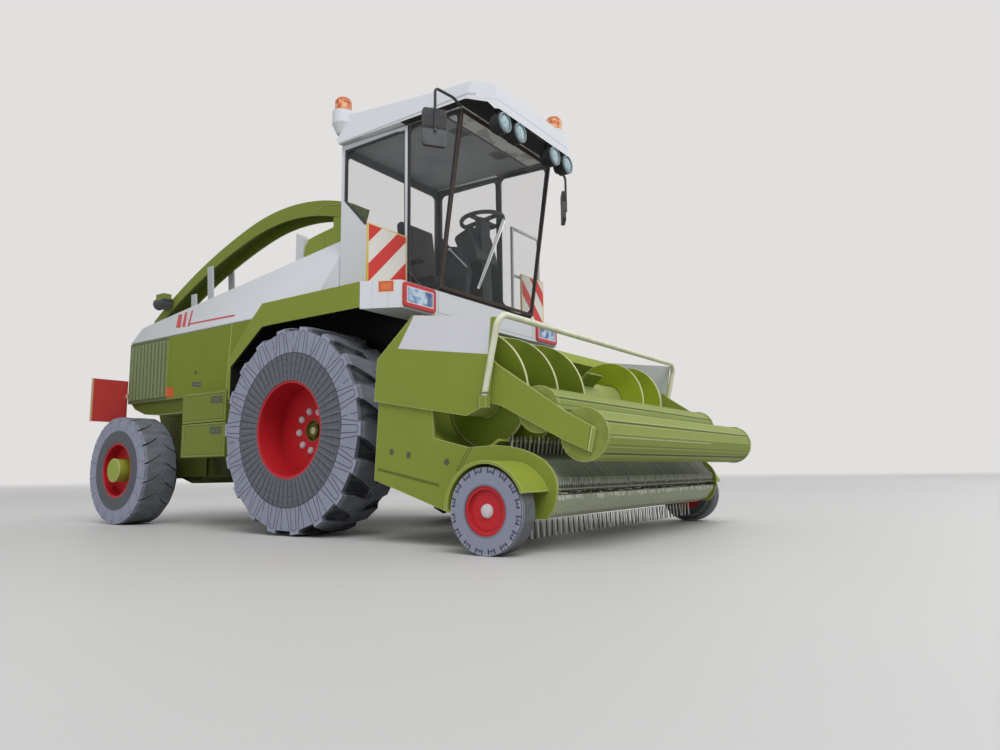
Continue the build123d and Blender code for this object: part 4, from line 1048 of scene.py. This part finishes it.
def front_sidewall(s, face, radius, angle):
    """Dark ring crossed by radial strokes inside a pale ring with an outline for each lug."""
    lay, ragged, dark_r, line = s.on(face), s.noise(0.35), 27.0, 0x30323A
    ring, beyond = radius.under(dark_r, 0.25), radius.over(dark_r, 0.2)
    lay(s.noise(0.16, 3.0).over(0.5, 0.2) * 0.3, 0xA0A4B4)
    lay(ring, 0x5A5C65)
    lay(ring * s.noise(1.6).over(0.5, 0.2) * 0.3, 0x74767E)
    lay((angle + 360.0).teeth(6.0).under(0.075, 0.04) * (radius + ragged * 5.0).under(29.2, 0.3) * 0.85, line)
    # Painted glints: pale strokes just beside the dark ones.
    lay((angle + 362.2).teeth(6.0).under(0.05, 0.04) * radius.under(26.0) * 0.35, 0x9698A0)
    lay(radius.near(dark_r, 0.2) * ragged.over(0.35, 0.1) * 0.8, line)
    for inner in (19.6, 22.6, 24.8):
        lay((radius - ragged).near(inner, 0.14) * ragged.over(0.5, 0.1) * 0.6, line)
    turn = ((angle + 368.0) / 20.0).fract() * 20.0        # 0 to 20 degrees within a lug
    arc = (turn - 10.0) * (radius * (pi / 180.0))         # millimetres from the lug's middle
    tongue = s.outside([(-1.5, 24.0), (1.5, 24.0), (1.15, 34.3), (0.6, 34.9), (-0.6, 34.9), (-1.15, 34.3)],
                       arc, radius)
    for shape, share in ((tongue, 0.8), (abs(arc) - 3.3 + (radius - dark_r) * 0.12, 0.8),
                         (abs(arc - 0.8) - radius * (pi / 18.0), ragged.over(0.4, 0.1) * 0.8)):
        lay(abs(shape).under(0.17, 0.14) * beyond * share, line)
    lay(radius.over(35.0, 1.0) * 0.3, 0xACB0C0)


def rear_sidewall(s, face, radius, angle):
    """Dark inner ring and a pale outer ring with faint strokes."""
    lay = s.on(face)
    lay(s.noise(0.2, 3.0).over(0.5, 0.2) * 0.25, 0xA2A6B6)
    lay(radius.under(17.4, 0.4), 0x56595F)
    lay((angle + 360.0).teeth(7.5).under(0.05, 0.04) * radius.under(17.6) * 0.4, 0x3A3D42)
    lay((angle + 360.0).teeth(20.0).under(0.022, 0.02) * radius.over(17.4) * 0.6, 0x464A54)
    lay(radius.near(17.5, 0.2) * 0.5, 0x40434A)


def gauge_sidewall(s, face, radius, angle):
    """Pale ring with short black hooks printed round its edge, open outwards."""
    lay, ragged, dark, pitch = s.on(face), s.noise(0.7), 0x282C38, 360.0 / 16
    arc = (((angle + 360.0) / pitch).fract() * pitch - pitch / 2) * (radius * (pi / 180.0))
    legs = abs(abs(arc) - 0.85 - (radius - 9.4) * 0.12).under(0.21, 0.12)
    lay(legs * (radius + ragged).between(10.1, 11.8, 0.3) * 0.9, dark)
    lay((radius - ragged * 0.5).near(9.75, 0.2, 0.14) * abs(arc).under(0.95) * 0.65, dark)
    lay(abs(arc).under(0.17, 0.14) * (radius + ragged).between(10.2, 11.4, 0.3) * 0.6, dark)
    lay(radius.near(6.6, 0.2) * 0.5, 0x464A56)
    lay(radius.over(10.8, 0.3) * ragged.over(0.52, 0.06) * 0.5, 0xC4C6CC)


def layered_tread(s, face, radius, angle):
    """Stacked card edges, seen as fine lines round the tread."""
    lay = s.on(~face)
    gauge_sidewall(s, face, radius, angle)
    line = s.x.teeth(0.75)
    lay(line.under(0.15, 0.1) * 0.85, 0x28292C)
    lay(line.over(0.40, 0.1) * s.noise(0.5).over(0.45, 0.1) * 0.5, 0x8C8E91)


def add_tyre(name, wheel, profile, lugs, material, smooth):
    """A tyre's carcass turned from a (depth, radius) profile, with slanted lugs from both shoulders.

    lugs is None or (count, height, share of the pitch at the shoulder and at the middle, slant, phase).
    """
    y, z, width = wheel.y, wheel.z, wheel.width
    base_r, inner_r = max(radius for depth, radius in profile), profile[-2][1]
    for side_name, side in SIDES:
        form = Form()
        form.lathe([(side * (wheel.face - depth), radius) for depth, radius in profile], (0, y, z), 144)
        if lugs:
            count, high, share_out, share_in, slant, phase = lugs
            pitch = tau / count
            for i, (cx, cy, cz) in enumerate(form.corners):
                if hypot(cy - y, cz - z) > inner_r + 0.5:
                    off = (atan2(cz - z, cy - y) - phase) % pitch - pitch / 2
                    flat = 1.0 + (cos(pitch / 2) / cos(off) - 1.0) * FLATNESS
                    form.corners[i] = (cx, y + (cy - y) * flat, z + (cz - z) * flat)
        for k, row in ((k, row) for k in range(count if lugs else 0) for row in (0, 1)):
            rows = []
            for share in (step / LUG_STEPS for step in range(LUG_STEPS + 1)):
                reach = share * width * LUG_REACH
                depth = min(width - reach, width - 0.05) if row else max(reach, 0.05)
                top = base_r + high
                if depth < 1.0:
                    top -= high * 0.3 * (1.0 - depth)
                if depth > width * TAPER:
                    top -= (depth / width - TAPER) / (1.0 - TAPER) * (base_r - inner_r - 0.5)
                middle = phase + pitch * (k + 0.5 * row) + slant * share ** 1.4
                half = pitch * (share_out + (share_in - share_out) * share) / 2
                foot, low = half * 1.22, min(base_r, top) - 0.9
                rows += [(side * (wheel.face - depth), y + radius * cos(middle + turn),
                          z + radius * sin(middle + turn))
                         for turn, radius in ((-foot, low), (-half, top), (half, top), (foot, low))]
            form.add(rows, [[n * 4 + i, n * 4 + j, n * 4 + 4 + j, n * 4 + 4 + i]
                            for n in range(LUG_STEPS) for i, j in ((0, 1), (1, 2), (2, 3), (3, 0))]
                     + [[3, 2, 1, 0], [LUG_STEPS * 4 + i for i in range(4)]])
        tyre = form.make(f"{name}_card_tyre_{side_name}", material, "tyre_card", smooth,
                         f"{name}_wheel_{side_name}")
        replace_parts(tyre, f"{name}_tyre_{side_name}")


front_r, front_w, rear_r, rear_w, gauge_r, gauge_w = (v for w in (FRONT, REAR, GAUGE) for v in (w.r, w.width))
# For each tyre: its wheel, profile, lugs, side print, ink of the tread and painted shade of its valleys, and smooth
# angle.
TYRES = {
    "front": (FRONT, [(0.0, 17.3), (0.0, front_r - 1.5), (front_w * TAPER, front_r - 1.5), (front_w, 26.9),
                      (front_w, 17.3)],
              (18, 1.5, 0.36, 0.76, radians(9.0), radians(2.0)), front_sidewall, 0x60636B, 0x2E3034, 0.0),
    "rear": (REAR, [(0.0, 12.2), (0.0, rear_r - 1.5), (1.2, rear_r - 0.9), (3.2, rear_r - 0.5),
                    (rear_w * 0.62, rear_r - 0.5), (rear_w * TAPER, rear_r - 1.0), (rear_w * 0.94, rear_r - 2.4),
                    (rear_w, 17.0), (rear_w, 12.2)],
             (18, 0.5, 0.86, 0.90, radians(-15.0), radians(4.0)), rear_sidewall, 0x62666C, 0x3E4145, 24.0),
    "gauge": (GAUGE, [(0.0, 6.4), (0.0, gauge_r - 0.15), (0.3, gauge_r), (gauge_w * TAPER, gauge_r), (gauge_w, 8.6),
                      (gauge_w, 6.4)],
              None, layered_tread, 0x5C5E60, 0x5C5E60, 0.0)}
# For each rim: the radius of its bowl and of its hub, the hub's colour and how much of its edges shows.
RIMS = {"front": (16.4, 3.8, 0x787022, 0.55), "rear": (11.3, 5.0, 0x8C9830, 0.4),
        "gauge": (5.5, 1.7, 0xD6D8DE, 0.5)}
for name, (wheel, profile, lugs, sidewall, tread, valley, smooth) in TYRES.items():
    prints = tyre_prints(wheel, sidewall, tread, valley)
    material = card(f"{name}_tyre_card", LILAC, prints, edge=(0xB0B4C4, 0.25), tone=0.10)
    add_tyre(name, wheel, profile, lugs, material, smooth)
    bowl_r, hub_r, hub_colour, share = RIMS[name]
    prints = rim_prints(wheel, bowl_r, hub_r, hub_colour)
    paint(card(f"{name}_rim_card", RED, prints, edge=(0xCE7878, share), rough=0.5),
          f"{name}_rim_left", f"{name}_rim_right")

nut_card = card("nut_card", 0xCECACE, edge=(0x96969C, 0.5), tone=0.05)
hub_card = card("hub_card", 0x96A446, edge=(CREAM, 0.8))
NUTS, NUT_CIRCLE = 9, 7.2
for side_name, side in SIDES:
    nuts, cap, dot = Form(), Form(), Form()
    for k in range(NUTS):
        angle = radians(-4.6 + 360.0 / NUTS * k)
        nuts.lathe([(0.0, 1.3), (side * 0.55, 1.25), (side * 0.95, 0.85), (side * 0.95, 0.001)],
                   (side * (FRONT.face - 11.5), NUT_CIRCLE * cos(angle), FRONT.z + NUT_CIRCLE * sin(angle)), 18,
                   closed=False)
    cap.lathe([(side * -0.1, 5.2), (side * 0.35, 5.2), (side * 0.5, 5.0), (side * 0.5, 0.001)],
              (side * (REAR.face + 0.8), REAR.y, REAR.z), 48, closed=False)
    dot.lathe([(0.0, 1.5), (side * 0.2, 1.45), (side * 0.3, 1.2), (side * 0.3, 0.001)],
              (side * (GAUGE.face - 0.7), GAUGE.y, GAUGE.z), 28, closed=False)
    for form, name, wheel, material, slot in ((nuts, "wheel_nuts", "front", nut_card, "white_card"),
                                              (cap, "hub_cap", "rear", hub_card, "green_card"),
                                              (dot, "gauge_cap", "gauge", nut_card, "white_card")):
        form.make(f"{name}_{side_name}", material, slot, 35.0, f"{wheel}_wheel_{side_name}")


# ---------------------------------------------------------------- tines, lamps and mirrors

# Steel tines in a bright and a dark copy, for painted highlight and painted shade on the wires; the two alternate,
# and most in the slot are the dark copy.
tine_metal = wire_metal("tine_metal", 0xCECCC6, 0.35, metallic=0.5)
shaded_tine_metal = wire_metal("shaded_tine_metal", 0x46443C, 0.5, metallic=0.5)
bright, shaded_tines, loose = Form(), Form(), Form()
# The lowest row hangs under the drum, the next lies in its slot, and the others stand up.
for number, (low, high) in enumerate(sorted(islands("pickup_tines"), key=lambda pair: pair[0].z)):
    count = (78, 92, 104)[min(number, 2)]
    start, end, tilt, wire = (high.z, low.z, 0.35, 0.21) if number == 0 else (low.z, high.z, 1.1, 0.27)
    for k in range(count):
        x = low.x + (high.x - low.x) * (k + 0.5) / count + random.uniform(-0.12, 0.12)
        lean, spring = random.uniform(-0.3, 0.3), random.uniform(-0.35, 0.35)
        y, z = (low.y + high.y) / 2, (low.z + high.z) / 2
        if number == 1:
            form = shaded_tines if k % 5 else bright
            form.tube([(x, high.y, z), (x + lean, low.y + spring * 0.8, z + lean)], 0.16, 5)
            continue
        form = bright if k % 2 else shaded_tines
        middle = (x + tilt * 0.5 + lean * 0.3, y + spring * 0.4, z)
        form.tube([(x, y, start), middle, (x + tilt + lean, y + spring, end)], wire, 6)
LOOSE_WIRES, SLOT_HALF, SLOT_UP = 46, 56.0, 8.9
for k in range(LOOSE_WIRES):
    x = -SLOT_HALF + 2 * SLOT_HALF * (k / (LOOSE_WIRES - 1)) ** 1.6 + random.uniform(-0.8, 0.8)
    run = random.uniform(2.5, 6.5)
    y, z = drum_low.y + 0.1 + random.uniform(0.0, 0.4), drum_low.z + SLOT_UP + random.uniform(-0.7, 0.9)
    loose.tube([(x, y + 0.6, z), (x + run * 0.5, y - random.uniform(0.0, 0.3), z + random.uniform(-0.4, 0.5)),
                (x + run, y + 0.5, z + random.uniform(-0.7, 0.7))], 0.12, 5)
bright.make("wire_tines", tine_metal, "steel_wire", 60.0)
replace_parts(shaded_tines.make("shaded_wire_tines", shaded_tine_metal, "steel_wire", 60.0), "pickup_tines")
loose.make("loose_wires", tine_metal, "steel_wire", 60.0)

SKIRT_HALF, SKIRT_THICK, SKIRT_LOW = 30.8, 0.4, 20.5
shell_low, shell_high = place("body_shell")
skirts = Form()
skirt_edge = [(91.6, shell_low.z + 1.2)] + [(shell_high.y - back, z) for back, z in (
    (26.2, shell_low.z + 1.2), (14.0, shell_low.z + 2.2), (5.2, shell_low.z + 4.4), (2.4, shell_low.z + 4.6),
    (6.5, 44.0), (12.0, 36.0), (16.5, 26.0), (19.0, SKIRT_LOW))] + [(91.6, SKIRT_LOW)]
for side in (-1, 1):
    skirts.slab([(side * SKIRT_HALF, y, z) for y, z in skirt_edge], (side * SKIRT_THICK, 0, 0))


def skirt_prints(s):
    """Green inner skirt, dark olive low down as painted shade, with a seam and a row of small rivets."""
    plain_green(s)
    # Painted shade: the skirt darkens to olive low down.
    s.lay(s.z.under(32.0, 9.0) * 0.85, 0x465418)
    s.lay(s.z.near(46.6, 0.16) * 0.6, 0x323C0E)
    across, up = s.y.teeth(5.0) * 5.0, s.z - 45.2
    s.lay((across * across + up * up).under(0.16, 0.1) * 0.7, 0x323C0E)


skirts.make("belly_skirts", card("skirt_card", 0x7C892E, skirt_prints, edge=(GREEN_PALE, 0.4)), "green_card")

stand, lever = Form(), Form()
for x, thick, outline in (
        (-8.6, 2.9, ((-28.8, 0.3), (-38.4, 0.3), (-40.2, 13.0), (-36.4, 22.4), (-29.8, 23.8))),
        (-10.6, 1.9, ((-27.6, 12.6), (-34.6, 10.8), (-34.2, 9.2), (-27.2, 10.6)))):
    stand.slab([(x, y, cab_floor_z + up) for y, up in outline], (thick, 0, 0))
lever.tube([(x, y, cab_floor_z + up) for x, y, up in (
    (-9.4, -32.4, 21.6), (-9.4, -36.6, 17.4), (-9.2, -40.4, 13.4))], 0.34, 8)
lever.lathe([(-0.9, 0.001), (-0.7, 0.55), (0.0, 0.8), (0.7, 0.55), (0.9, 0.001)], (-9.4, -32.2, cab_floor_z + 21.8),
            14, closed=False)
stand_card = card("stand_card", 0x202124, control_prints, edge=(0x606266, 0.35))
stand.make("control_stand", stand_card, "black_card")
lever.make("control_lever", wire_metal("lever_metal", 0xC4C8CC), "steel_wire", 50.0)

lamp_ring = card("lamp_ring_card", 0x78848A, edge=(0xAAB8BE, 0.5), rough=0.45)


def lens_prints(s):
    """Pale blue printed lens with a soft pattern."""
    s.lay(s.noise(0.5, 3.0).between(0.5, 0.7, 0.15) * 0.5, 0xC4D8DE)
    s.lay(s.noise(0.9).between(0.55, 0.75, 0.1) * 0.4, 0x5C767E)


lens_card = card("lens_card", 0x8EACB4, lens_prints, edge=None, rough=0.28, tone=0.05)
rings, lenses = Form(), Form()
for low, high in islands("roof_lamps"):
    r = (high.x - low.x) / 2
    front = ((low.x + high.x) / 2, low.y, low.z + r)
    rings.lathe([(0.0, r), (-0.5, r), (-0.7, r - 0.3), (-0.5, r - 0.7), (0.0, r - 0.7)], front, 40, tip=(0, 1, 0))
    lenses.lathe([(0.0, r - 0.7), (-0.35, r - 1.2), (-0.5, r * 0.4), (-0.52, 0.001)], front, 32, closed=False,
                 tip=(0, 1, 0))
rings.make("lamp_rings", lamp_ring, "lamp_card", 40.0)
lenses.make("lamp_lenses", lens_card, "lamp_card", 60.0)
